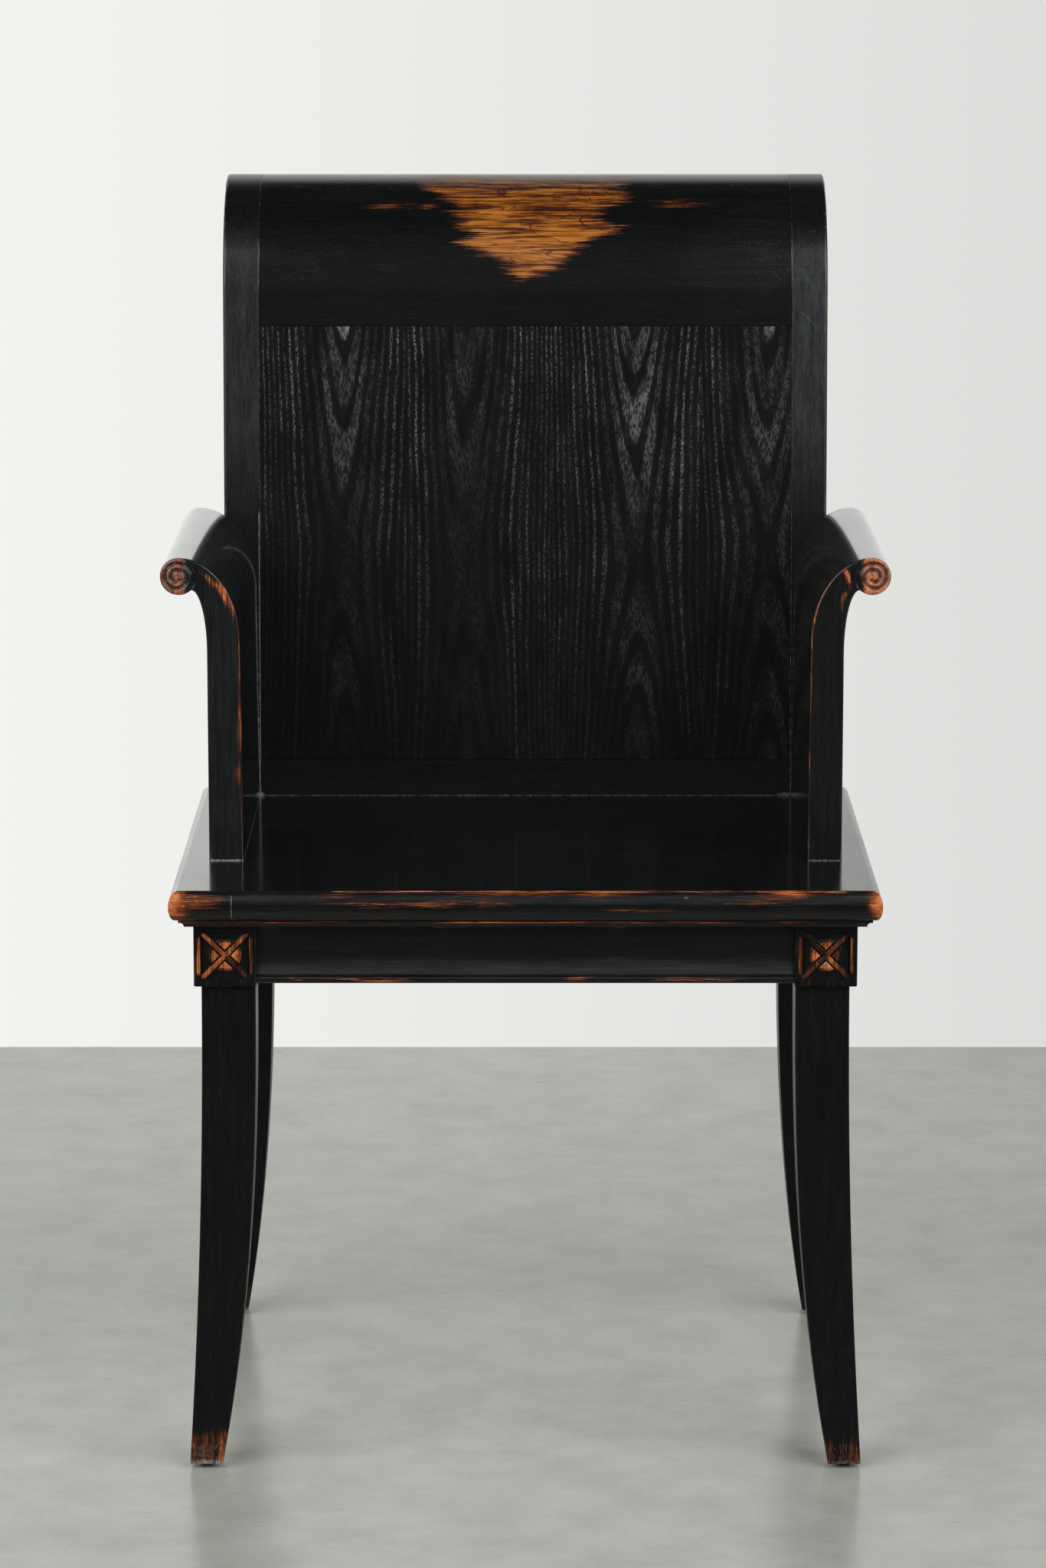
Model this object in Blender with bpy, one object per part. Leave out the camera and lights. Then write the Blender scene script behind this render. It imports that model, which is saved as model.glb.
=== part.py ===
"""Scroll-back armchair in black lacquered wood, an assembly of joined pieces.

Metres, Z up, the front faces -Y. The chair is drawn with Y measured back from
the front of the seat, and every object is then moved so that the origin lies on
the floor under the middle of the whole chair.
"""
import math

import bmesh
import bpy

# Seat
SEAT_WIDTH = 0.600
SEAT_DEPTH = 0.480
SEAT_HEIGHT = 0.508
SEAT_THICK = 0.032
NOSE_DROP = 0.0137
NOSE_UPPER = 0.0074
NOSE_LOWER = 0.0066
NOSE_LOWER_DROP = 0.0252
STEP_IN = 0.0079
STEP_DROP = 0.0278
COVE_IN = 0.0125
RAIL_WIDTH = 0.070
SEAT_PANEL_THICK = 0.018
TONGUE_THICK = 0.008
TONGUE_LENGTH = 0.009
BRACE_WIDTH = 0.034
BRACE_SPREAD = 0.190
BRACE_HOLD = 0.009
MITRE_TENON_IN = 0.032
MITRE_TENON_WIDE = 0.020
MITRE_TENON_NEAR = 0.018
MITRE_TENON_LONG = 0.040
MITRE_TENON_THICK = 0.007
CORNER_BRACE_WIDE = 0.030
CORNER_BRACE_TALL = 0.026
CORNER_BRACE_CLEAR = 0.004

# Legs
BLOCK_SIDE = 0.053
BLOCK_INSET = 0.0199
BLOCK_HEIGHT = 0.0536
LEG_INSET_OUT = 0.0060
LEG_INSET_IN = 0.0012
REAR_LEG_SLIM = 0.0036
LEG_KICK_OUT = 0.0135
LEG_KICK_IN = 0.0312
LEG_REAR_SWEEP = 0.0360
FOOT_LIFT = 0.0040
GLIDE_RADIUS = 0.0075
LEG_STATIONS = 15
LEG_ARRIS = 0.0012
LEG_TENON_IN = 0.004
LEG_TENON_WIDE = 0.014
LEG_TENON_BACK = 0.008
LEG_TENON_DEEP = 0.018
LEG_TENON_RISE = 0.0055
GLIDE_FLAT = 0.0030
SHANK_RADIUS = 0.0015
SHANK_LENGTH = 0.012
ROSETTE_RIM = 0.0067
ROSETTE_DEEP = 0.0026
BOSS_RADIUS = 0.0143
BOSS_STEP = 0.0028
BOSS_SINK = 0.0009
BOSS_RING_SINK = 0.0016
BAR_WIDE = 0.0047
BAR_SINK = 0.0003

# Aprons
APRON_SET_BACK = 0.0014
APRON_RISE = 0.0024
APRON_THICK = 0.020
BEAD_HEIGHT = 0.0068
COVE_TOP = 0.0260
COVE_DEPTH = 0.0048
QUIRK = 0.0008
BEAD_DEEP = 0.0018
TENON_SHOULDER = 0.012

# Arms
ARM_FRONT = 0.1325
ARM_INSET = 0.0273
ARM_THICK = 0.0297
ARM_RISE = 0.2633
ARM_SPREAD = 0.0015
ARM_SPRING = 0.1915
SCROLL_RADIUS = 0.0159
SCROLL_OVER = 0.0396
SPIRAL_WIDE = 0.0026
SPIRAL_DEEP = 0.0016
SPIRAL_TURNS = 2.05
SPIRAL_PITCH = 0.0056
SPIRAL_EYE_OUT = 0.0012
SPIRAL_EYE_DROP = 0.0007
ARM_UNDER_SPRING = 0.1820
NECK_DEPTH = 0.0277

# Back
BACK_SET = 0.0503
BACK_RECLINE = math.radians(4.3)
BACK_INSET = 0.0254
BACK_THICK = 0.0270
STILE_WIDTH = 0.0322
ROLL_RISE = 0.4600
ROLL_RADIUS = 0.1055
ROLL_SCROLL = 0.0190
TOP_RAIL_TALL = 0.0320
BOTTOM_RAIL_TALL = 0.0325
BACK_PANEL_THICK = 0.0120
PANEL_SINK = 0.0005
PANEL_LIP = 0.0030
RAIL_TENON_TALL = 0.018
STILE_TENON_IN = 0.002
STILE_TENON_WIDE = 0.010
STILE_TENON_BACK = 0.010
STILE_TENON_DEEP = 0.012
STILE_TENON_LONG = 0.013

# Joints
GAP = 0.0003
MITRE_GAP = 0.00022
TENON_THICK = 0.008
TENON_LENGTH = 0.018
DOWEL_RADIUS = 0.005
DOWEL_LENGTH = 0.036
ROOT = 0.003
RUN_PAST = 0.010

LACQUER = (0.008, 0.008, 0.009, 1.0)
PANEL_LACQUER = (0.020, 0.020, 0.019, 1.0)
RAW_WOOD = (0.42, 0.24, 0.11, 1.0)
STEEL = (0.09, 0.09, 0.09, 1.0)

half_seat = SEAT_WIDTH / 2
underside = SEAT_HEIGHT - SEAT_THICK
block_out = half_seat - BLOCK_INSET
block_in = block_out - BLOCK_SIDE
block_bottom = underside - BLOCK_HEIGHT
lean = math.tan(BACK_RECLINE)
back_half = half_seat - BACK_INSET
stile_in = back_half - STILE_WIDTH
back_front = SEAT_DEPTH - BACK_SET
roll_start = SEAT_HEIGHT + ROLL_RISE
top_rail_low = roll_start - TOP_RAIL_TALL
bottom_rail_top = SEAT_HEIGHT + BOTTOM_RAIL_TALL
arm_outer = half_seat - ARM_INSET
arm_inner = arm_outer - ARM_THICK
arm_top = SEAT_HEIGHT + ARM_RISE
scroll_x = arm_outer + SCROLL_OVER - SCROLL_RADIUS
scroll_z = arm_top - SCROLL_RADIUS
roll_y = back_front + (roll_start - SEAT_HEIGHT) * lean + ROLL_RADIUS * math.cos(BACK_RECLINE)
roll_z = roll_start - ROLL_RADIUS * math.sin(BACK_RECLINE)
rear_foot = SEAT_DEPTH - BLOCK_INSET - LEG_INSET_OUT + LEG_KICK_OUT + LEG_REAR_SWEEP
front_foot = BLOCK_INSET + LEG_INSET_OUT - LEG_KICK_OUT
reach_back = max(rear_foot, roll_y + ROLL_SCROLL, SEAT_DEPTH)
reach_front = min(front_foot, 0.0)
frame_y = (reach_back + reach_front) / 2


def clear_scene():
    for obj in list(bpy.data.objects):
        bpy.data.objects.remove(obj, do_unlink=True)


def material_for(name, colour, rough):
    mat = bpy.data.materials.new(name + "_finish")
    mat.use_nodes = True
    shader = mat.node_tree.nodes["Principled BSDF"]
    shader.inputs["Base Color"].default_value = colour
    shader.inputs["Roughness"].default_value = rough
    return mat


def add_mesh(name, verts, faces, colour=LACQUER, rough=0.25, smooth=False):
    mesh = bpy.data.meshes.new(name)
    mesh.from_pydata(verts, [], faces)
    work = bmesh.new()
    work.from_mesh(mesh)
    bmesh.ops.recalc_face_normals(work, faces=work.faces)
    for face in work.faces:
        face.smooth = smooth and len(face.verts) == 4
    work.to_mesh(mesh)
    work.free()
    obj = bpy.data.objects.new(name, mesh)
    obj.location.y = -frame_y
    mesh.materials.append(material_for(name, colour, rough))
    bpy.context.scene.collection.objects.link(obj)
    return obj


def place(axis, u, v, w):
    if axis == "X":
        return (w, u, v)
    if axis == "Y":
        return (u, w, v)
    return (u, v, w)


def prism(name, outline, axis, low, high, **look):
    """Closed outline swept along one axis; low and high are numbers or functions."""
    start = low if callable(low) else lambda u, v: low
    end = high if callable(high) else lambda u, v: high
    n = len(outline)
    verts = [place(axis, u, v, start(u, v)) for u, v in outline]
    verts += [place(axis, u, v, end(u, v)) for u, v in outline]
    faces = [tuple(range(n)), tuple(range(n, 2 * n))]
    faces += [(i, (i + 1) % n, n + (i + 1) % n, n + i) for i in range(n)]
    return add_mesh(name, verts, faces, **look)


def loft(name, rings, **look):
    n = len(rings[0])
    verts = [point for ring in rings for point in ring]
    faces = [tuple(range(n)), tuple(range(len(verts) - n, len(verts)))]
    for k in range(len(rings) - 1):
        a = k * n
        faces += [(a + i, a + (i + 1) % n, a + n + (i + 1) % n, a + n + i) for i in range(n)]
    return add_mesh(name, verts, faces, **look)


def box(name, low, high, **look):
    (x0, y0, z0), (x1, y1, z1) = low, high
    return prism(name, [(x0, y0), (x1, y0), (x1, y1), (x0, y1)], "Z", z0, z1, **look)


def rod(name, axis, centre, radius, low, high, sides=24, **look):
    turn = [2 * math.pi * i / sides for i in range(sides)]
    outline = [(centre[0] + radius * math.cos(t), centre[1] + radius * math.sin(t)) for t in turn]
    return prism(name, outline, axis, low, high, **look)


def apply_tool(target, tool, operation):
    tool.hide_render = True
    tool.display_type = "WIRE"
    mod = target.modifiers.new(tool.name, "BOOLEAN")
    mod.operation = operation
    mod.solver = "EXACT"
    mod.object = tool


def cut(target, tool):
    apply_tool(target, tool, "DIFFERENCE")


def add(target, tool):
    apply_tool(target, tool, "UNION")


def socket(target, tool_name, low, high):
    """Box mortise, opened by the clearance on every side."""
    grown_low = tuple(v - GAP for v in low)
    grown_high = tuple(v + GAP for v in high)
    cut(target, box(tool_name, grown_low, grown_high))


def arc(cu, cv, ru, rv, first, last, steps):
    """Points of an ellipse between two angles in degrees, both ends included."""
    points = []
    for i in range(steps + 1):
        t = math.radians(first + (last - first) * i / steps)
        points.append((cu + ru * math.cos(t), cv + rv * math.sin(t)))
    return points


def mirror(side, low, high):
    """Box limits in X for one side of the chair (+1 right, -1 left)."""
    return (low, high) if side > 0 else (-high, -low)


def across(low, high, y_low, y_high, side, rear):
    """Box limits in X and Y for one corner; the rear corners mirror in Y."""
    x0, x1 = mirror(side, low, high)
    if rear:
        return x0, x1, SEAT_DEPTH - y_high, SEAT_DEPTH - y_low
    return x0, x1, y_low, y_high


SIDES = (("left", -1), ("right", 1))
ENDS = (("front", False), ("rear", True))


def rail_section():
    """Seat rail section as (distance in from the edge, height)."""
    top = SEAT_HEIGHT
    groove_mid = top - SEAT_PANEL_THICK / 2
    reach = TONGUE_THICK / 2 + GAP
    line = [(NOSE_UPPER, top)]
    line += arc(NOSE_UPPER * 1.06, top - NOSE_DROP, NOSE_UPPER * 1.06, NOSE_DROP, 112, 180, 6)[1:]
    lower = NOSE_LOWER_DROP - NOSE_DROP
    line += arc(NOSE_LOWER, top - NOSE_DROP, NOSE_LOWER, lower, 180, 262, 5)[1:]
    line += [(STEP_IN, top - NOSE_LOWER_DROP), (STEP_IN, top - STEP_DROP)]
    fall = SEAT_THICK - STEP_DROP
    line += arc(STEP_IN, underside, COVE_IN - STEP_IN, fall, 90, 0, 4)[1:-1]
    line += [(COVE_IN, underside), (RAIL_WIDTH, underside)]
    line += [(RAIL_WIDTH, groove_mid - reach), (RAIL_WIDTH - TONGUE_LENGTH - GAP, groove_mid - reach)]
    line += [(RAIL_WIDTH - TONGUE_LENGTH - GAP, groove_mid + reach), (RAIL_WIDTH, groove_mid + reach)]
    line += [(RAIL_WIDTH, top)]
    return line


def seat_mitre_tenon(side, rear):
    inner = half_seat - MITRE_TENON_IN
    x0, x1, y0, y1 = across(inner - MITRE_TENON_WIDE, inner, MITRE_TENON_NEAR,
                            MITRE_TENON_NEAR + MITRE_TENON_LONG, side, rear)
    return (x0, y0, underside + MITRE_TENON_THICK), (x1, y1, underside + 2 * MITRE_TENON_THICK)


def leg_tenon(side, rear, rise):
    near_x = block_in + LEG_TENON_IN
    near_y = BLOCK_INSET + LEG_TENON_BACK
    x0, x1, y0, y1 = across(near_x, near_x + LEG_TENON_WIDE, near_y, near_y + LEG_TENON_DEEP, side, rear)
    return (x0, y0, underside - 2 * ROOT), (x1, y1, underside + rise)


def stile_tenon(side, rise):
    near_x = stile_in + STILE_TENON_IN
    x0, x1 = mirror(side, near_x, near_x + STILE_TENON_WIDE)
    y0 = back_front + STILE_TENON_BACK
    return (x0, y0, SEAT_HEIGHT - STILE_TENON_LONG), (x1, y0 + STILE_TENON_DEEP, SEAT_HEIGHT + rise)


def brace_limits(x):
    top = SEAT_HEIGHT - SEAT_PANEL_THICK - GAP
    y0 = RAIL_WIDTH - BRACE_HOLD
    return (x - BRACE_WIDTH / 2, y0, underside), (x + BRACE_WIDTH / 2, SEAT_DEPTH - y0, top)


def arm_dowel_spots(side):
    x = side * (arm_inner + ARM_THICK / 2)
    span = back_front - ARM_FRONT
    return [(x, ARM_FRONT + span * part) for part in (0.16, 0.78)]


def stile_dowel_heights():
    rise = arm_top - SEAT_HEIGHT
    return [SEAT_HEIGHT + rise * part for part in (0.30, 0.70)]


def seat():
    section = rail_section()
    rails = {}
    for end, rear in ENDS:
        outline = [(SEAT_DEPTH - d if rear else d, z) for d, z in section]
        inward = (lambda y, z: half_seat - (SEAT_DEPTH - y) - MITRE_GAP) if rear else (
            lambda y, z: half_seat - y - MITRE_GAP)
        rails[end] = prism("seat_rail_" + end, outline, "X", lambda y, z, f=inward: -f(y, z), inward)
    for name, side in SIDES:
        outline = [(side * (half_seat - d), z) for d, z in section]
        near = lambda x, z: half_seat - abs(x) + MITRE_GAP
        far = lambda x, z: SEAT_DEPTH - (half_seat - abs(x)) - MITRE_GAP
        rail = prism("seat_rail_" + name, outline, "Y", near, far)
        for end, rear in ENDS:
            low, high = seat_mitre_tenon(side, rear)
            add(rail, box("tenon_mitre_%s_%s" % (end, name), low, high))
            socket(rails[end], "cut_mitre_%s_%s" % (end, name), low, high)
            low, high = leg_tenon(side, rear, LEG_TENON_RISE)
            socket(rails[end], "cut_leg_tenon_%s_%s" % (end, name), low, high)
        low, high = stile_tenon(side, ROOT)
        socket(rails["rear"], "cut_stile_tenon_" + name, low, high)
        for i, (x, y) in enumerate(arm_dowel_spots(side)):
            tool = rod("cut_seat_dowel_%s_%d" % (name, i), "Z", (x, y), DOWEL_RADIUS + GAP,
                       SEAT_HEIGHT - DOWEL_LENGTH * 0.45 - GAP, SEAT_HEIGHT + RUN_PAST)
            cut(rail, tool)
    for i, x in enumerate((-BRACE_SPREAD / 2, BRACE_SPREAD / 2)):
        low, high = brace_limits(x)
        for end in rails:
            socket(rails[end], "cut_brace_%s_%d" % (end, i), (low[0], low[1], low[2] - ROOT), high)
        box("seat_brace_" + ("left", "right")[i], low, high, colour=RAW_WOOD, rough=0.6)
    half_x = half_seat - RAIL_WIDTH - GAP
    y0, y1 = RAIL_WIDTH + GAP, SEAT_DEPTH - RAIL_WIDTH - GAP
    mid = SEAT_HEIGHT - SEAT_PANEL_THICK / 2
    rings = []
    for grow, z in ((0, SEAT_HEIGHT - SEAT_PANEL_THICK), (0, mid - TONGUE_THICK / 2),
                    (TONGUE_LENGTH, mid - TONGUE_THICK / 2), (TONGUE_LENGTH, mid + TONGUE_THICK / 2),
                    (0, mid + TONGUE_THICK / 2), (0, SEAT_HEIGHT)):
        rings.append([(-half_x - grow, y0 - grow, z), (half_x + grow, y0 - grow, z),
                      (half_x + grow, y1 + grow, z), (-half_x - grow, y1 + grow, z)])
    loft("seat_panel", rings)


def leg_section(drop, rear):
    """Outer and inner face positions, in from the block's outer corner, at one drop."""
    slim = REAR_LEG_SLIM if rear else 0.0
    sweep = LEG_REAR_SWEEP if rear else 0.0
    out_x = LEG_INSET_OUT - LEG_KICK_OUT * drop ** 2
    in_x = BLOCK_SIDE - LEG_INSET_IN - slim - (LEG_KICK_IN - slim / 2) * drop ** 2.45
    out_y = LEG_INSET_OUT - (LEG_KICK_OUT + sweep) * drop ** 2
    in_y = BLOCK_SIDE - LEG_INSET_IN - (LEG_KICK_IN + sweep) * drop ** (2.45 if not rear else 2.2)
    return out_x, in_x, out_y, in_y


def corner_ring(x0, x1, y0, y1, z, side, rear):
    """Square ring with eased arrises, placed at one corner of the chair."""
    a = LEG_ARRIS
    square = [(x0 + a, y0), (x1 - a, y0), (x1, y0 + a), (x1, y1 - a),
              (x1 - a, y1), (x0 + a, y1), (x0, y1 - a), (x0, y0 + a)]
    ring = []
    for u, v in square:
        y = BLOCK_INSET + v
        ring.append((side * (block_out - u), SEAT_DEPTH - y if rear else y, z))
    return ring


def rosette(leg, name, side):
    """Carved square of the front corner blocks: sunk field, stepped boss and crossed bars."""
    x = side * (block_out - BLOCK_SIDE / 2)
    z = (block_bottom + underside) / 2
    half = BLOCK_SIDE / 2
    face = BLOCK_INSET
    field = half - ROSETTE_RIM
    cut(leg, box("cut_field_" + name, (x - field, face - ROSETTE_DEEP, z - field),
                 (x + field, face + ROSETTE_DEEP, z + field)))
    for step, radius, sink in (("ring", BOSS_RADIUS, BOSS_RING_SINK),
                               ("eye", BOSS_RADIUS - BOSS_STEP, BOSS_SINK)):
        add(leg, rod("boss_%s_%s" % (step, name), "Y", (x, z), radius, face + sink,
                     face + 2 * ROSETTE_DEEP, sides=32))
    for i, slant in enumerate((1, -1)):
        long = (field + ROSETTE_RIM / 3) * math.sqrt(2)
        wide = BAR_WIDE / 2
        c = math.sqrt(0.5)
        corners = [(-long, -wide), (long, -wide), (long, wide), (-long, wide)]
        outline = [(x + (u * c - v * c * slant), z + (u * c * slant + v * c)) for u, v in corners]
        add(leg, prism("bar_%d_%s" % (i, name), outline, "Y", face + BAR_SINK * (1 + i),
                       face + 2.5 * ROSETTE_DEEP))


def legs():
    span = block_bottom - FOOT_LIFT
    for end, rear in ENDS:
        for name, side in SIDES:
            rings = [corner_ring(0, BLOCK_SIDE, 0, BLOCK_SIDE, underside - GAP, side, rear),
                     corner_ring(0, BLOCK_SIDE, 0, BLOCK_SIDE, block_bottom, side, rear)]
            for i in range(LEG_STATIONS + 1):
                drop = i / LEG_STATIONS
                out_x, in_x, out_y, in_y = leg_section(drop, rear)
                rings.append(corner_ring(out_x, in_x, out_y, in_y, block_bottom - span * drop, side, rear))
            tag = "%s_%s" % (end, name)
            leg = loft("leg_" + tag, rings)
            low, high = leg_tenon(side, rear, LEG_TENON_RISE - GAP)
            add(leg, box("tenon_leg_" + tag, low, high))
            if not rear:
                rosette(leg, tag, side)
            for which in ("cross", "side"):
                low, high = apron_tenon(which, side, rear)
                socket(leg, "cut_apron_%s_%s" % (which, tag), low, high)
            out_x, in_x, out_y, in_y = leg_section(1.0, rear)
            x = side * (block_out - (out_x + in_x) / 2)
            y = BLOCK_INSET + (out_y + in_y) / 2
            y = SEAT_DEPTH - y if rear else y
            glide("glide_" + tag, x, y)
            cut(leg, rod("cut_glide_" + tag, "Z", (x, y), SHANK_RADIUS + GAP, -RUN_PAST,
                         FOOT_LIFT + SHANK_LENGTH + GAP, sides=16))


def glide(name, x, y):
    """Domed nail glide: head under the foot, shank up into it."""
    top = FOOT_LIFT - GAP
    profile = [(GLIDE_FLAT, 0.0), (GLIDE_RADIUS * 0.75, top * 0.16), (GLIDE_RADIUS * 0.95, top * 0.48),
               (GLIDE_RADIUS, top * 0.8), (GLIDE_RADIUS, top), (SHANK_RADIUS, top),
               (SHANK_RADIUS, FOOT_LIFT + SHANK_LENGTH)]
    rings = []
    for r, z in profile:
        turn = [2 * math.pi * i / 20 for i in range(20)]
        rings.append([(x + r * math.cos(t), y + r * math.sin(t), z) for t in turn])
    loft(name, rings, colour=STEEL, rough=0.4, smooth=True)


def apron_section():
    """Apron section as (distance behind the block face, height)."""
    bottom = block_bottom + APRON_RISE
    bead = bottom + BEAD_HEIGHT
    face = APRON_SET_BACK
    field = face + COVE_DEPTH + QUIRK
    line = [(field, underside - GAP), (field, bottom + COVE_TOP)]
    rise = bottom + COVE_TOP - bead
    line += arc(face + QUIRK, bottom + COVE_TOP, COVE_DEPTH, rise, 0, -90, 6)[1:]
    line += [(face + BEAD_DEEP, bead)]
    line += arc(face + BEAD_DEEP, bottom + BEAD_HEIGHT / 2, BEAD_DEEP, BEAD_HEIGHT * 0.42, 90, 270, 6)
    line += [(face + BEAD_DEEP + QUIRK, bottom), (face + APRON_THICK, bottom)]
    line += [(face + APRON_THICK, underside - GAP)]
    return line


def apron_tenon(which, side, rear):
    """Tenon of a front/rear apron (cross) or a side apron (side) at one corner."""
    mid = APRON_SET_BACK + APRON_THICK * 0.58
    low_z, high_z = block_bottom + TENON_SHOULDER, underside - TENON_SHOULDER
    if which == "cross":
        x0, x1, y0, y1 = across(block_in - ROOT, block_in + TENON_LENGTH, BLOCK_INSET + mid - TENON_THICK / 2,
                                BLOCK_INSET + mid + TENON_THICK / 2, side, rear)
    else:
        start = BLOCK_INSET + BLOCK_SIDE
        x0, x1, y0, y1 = across(block_out - mid - TENON_THICK / 2, block_out - mid + TENON_THICK / 2,
                                start - TENON_LENGTH, start + ROOT, side, rear)
    return (x0, y0, low_z), (x1, y1, high_z)


def aprons():
    section = apron_section()
    for end, rear in ENDS:
        outline = [(SEAT_DEPTH - BLOCK_INSET - d if rear else BLOCK_INSET + d, z) for d, z in section]
        apron = prism("apron_" + end, outline, "X", -block_in + GAP, block_in - GAP)
        for name, side in SIDES:
            low, high = apron_tenon("cross", side, rear)
            add(apron, box("tenon_apron_%s_%s" % (end, name), low, high))
    start = BLOCK_INSET + BLOCK_SIDE + GAP
    for name, side in SIDES:
        outline = [(side * (block_out - d), z) for d, z in section]
        apron = prism("apron_" + name, outline, "Y", start, SEAT_DEPTH - start)
        for end, rear in ENDS:
            low, high = apron_tenon("side", side, rear)
            add(apron, box("tenon_apron_%s_%s" % (name, end), low, high))


def corner_braces():
    back = APRON_SET_BACK + APRON_THICK + GAP
    edge_x = block_out - back
    edge_y = BLOCK_INSET + back
    clear = block_in - (BLOCK_INSET + BLOCK_SIDE) - CORNER_BRACE_CLEAR
    wide = CORNER_BRACE_WIDE
    for end, rear in ENDS:
        for name, side in SIDES:
            plan = [(edge_y + clear, edge_y), (edge_y + clear - wide, edge_y),
                    (edge_x, edge_x - clear + wide), (edge_x, edge_x - clear)]
            outline = [(side * x, SEAT_DEPTH - y if rear else y) for x, y in plan]
            prism("corner_brace_%s_%s" % (end, name), outline, "Z", underside - CORNER_BRACE_TALL,
                  underside - GAP,
                  colour=RAW_WOOD, rough=0.6)


def arm_section():
    """Arm section as (distance from the middle of the chair, height): board, flare and scroll."""
    foot = SEAT_HEIGHT + GAP
    spring = SEAT_HEIGHT + ARM_SPRING
    under = SEAT_HEIGHT + ARM_UNDER_SPRING
    inner = arm_inner + ARM_SPREAD
    line = [(arm_inner, foot), (inner, spring)]
    line += arc(scroll_x, spring, scroll_x - inner, arm_top - spring, 180, 90, 16)[1:]
    neck_z = arm_top - NECK_DEPTH
    sink = scroll_z - neck_z
    neck_x = scroll_x - math.sqrt(SCROLL_RADIUS ** 2 - sink ** 2)
    last = math.degrees(math.atan2(neck_z - scroll_z, neck_x - scroll_x))
    line += arc(scroll_x, scroll_z, SCROLL_RADIUS, SCROLL_RADIUS, 90, last, 22)[1:]
    line += arc(neck_x, under, neck_x - arm_outer, neck_z - under, 90, 180, 10)[1:]
    line += [(arm_outer, foot)]
    return line


def spiral_groove(turns, r_first, r_last, wide, side, centre, start):
    """Outline of a spiral channel, tapering at both ends."""
    outer = []
    inner = []
    steps = round(25 * turns)
    for i in range(steps + 1):
        part = i / steps
        t = math.radians(start) - side * 2 * math.pi * turns * part
        r = r_first + (r_last - r_first) * part
        half = wide / 2 * min(1.0, 0.25 + 4 * part, 0.45 + 3 * (1 - part))
        outer.append((centre[0] + (r + half) * math.cos(t), centre[1] + (r + half) * math.sin(t)))
        inner.append((centre[0] + (r - half) * math.cos(t), centre[1] + (r - half) * math.sin(t)))
    return outer + inner[::-1]


def arms():
    section = arm_section()
    for name, side in SIDES:
        outline = [(side * x, z) for x, z in section]
        rear_end = lambda x, z: back_front + (z - SEAT_HEIGHT) * lean - GAP
        arm = prism("arm_" + name, outline, "Y", ARM_FRONT, rear_end)
        start = 215 if side > 0 else -35
        eye = (side * (scroll_x + SPIRAL_EYE_OUT), scroll_z - SPIRAL_EYE_DROP)
        first = SCROLL_RADIUS * 0.89
        groove = spiral_groove(SPIRAL_TURNS, first, first - SPIRAL_PITCH * SPIRAL_TURNS, SPIRAL_WIDE,
                               side, eye, start)
        cut(arm, prism("cut_spiral_" + name, groove, "Y", ARM_FRONT - SPIRAL_DEEP, ARM_FRONT + SPIRAL_DEEP))
        for i, (x, y) in enumerate(arm_dowel_spots(side)):
            low = SEAT_HEIGHT - DOWEL_LENGTH * 0.45
            rod("dowel_seat_%s_%s" % (name, ("front", "rear")[i]), "Z", (x, y), DOWEL_RADIUS, low,
                low + DOWEL_LENGTH, colour=RAW_WOOD, rough=0.6, smooth=True)
            cut(arm, rod("cut_arm_dowel_%s_%d" % (name, i), "Z", (x, y), DOWEL_RADIUS + GAP,
                         SEAT_HEIGHT - RUN_PAST, low + DOWEL_LENGTH + GAP))
        x = side * (arm_inner + ARM_THICK / 2)
        for i, z in enumerate(stile_dowel_heights()):
            joint = back_front + (z - SEAT_HEIGHT) * lean
            rod("dowel_back_%s_%s" % (name, ("low", "high")[i]), "Y", (x, z), DOWEL_RADIUS,
                joint - DOWEL_LENGTH * 0.58, joint + DOWEL_LENGTH * 0.42,
                colour=RAW_WOOD, rough=0.6, smooth=True)
            cut(arm, rod("cut_arm_back_%s_%d" % (name, i), "Y", (x, z), DOWEL_RADIUS + GAP,
                         joint - DOWEL_LENGTH * 0.58 - GAP, joint + RUN_PAST))


def back_face(z, depth):
    """Y of the reclined back at a height, so far behind its front face."""
    return back_front + (z - SEAT_HEIGHT) * lean + depth


def back_strip(low, high, front, rear):
    return [(back_face(low, front), low), (back_face(high, front), high),
            (back_face(high, rear), high), (back_face(low, rear), low)]


def roll_section(low):
    """Side section of the back from a height up: straight, roll and end scroll."""
    tilt = math.degrees(BACK_RECLINE)
    line = [(back_face(low, 0), low)]
    line += arc(roll_y, roll_z, ROLL_RADIUS, ROLL_RADIUS, 180 - tilt, 90, 18)
    scroll_centre = roll_z + ROLL_RADIUS - ROLL_SCROLL
    under = ROLL_RADIUS - BACK_THICK
    meet = meet_angle(under)
    seam_y = roll_y + under * math.cos(meet)
    seam_z = roll_z + under * math.sin(meet)
    last = math.degrees(math.atan2(seam_z - scroll_centre, seam_y - roll_y)) - 360
    last = last if last > -360 else last + 360
    line += arc(roll_y, scroll_centre, ROLL_SCROLL, ROLL_SCROLL, 90, last, 26)[1:]
    line += arc(roll_y, roll_z, under, under, math.degrees(meet), 180 - tilt, 14)[1:]
    line += [(back_face(low, BACK_THICK / math.cos(BACK_RECLINE)), low)]
    return line


def meet_angle(under):
    """Angle on the underside of the roll where it runs into the end scroll."""
    offset = ROLL_RADIUS - ROLL_SCROLL
    value = (under ** 2 + offset ** 2 - ROLL_SCROLL ** 2) / (2 * under * offset)
    return math.pi / 2 + math.acos(min(1.0, value))


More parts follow.
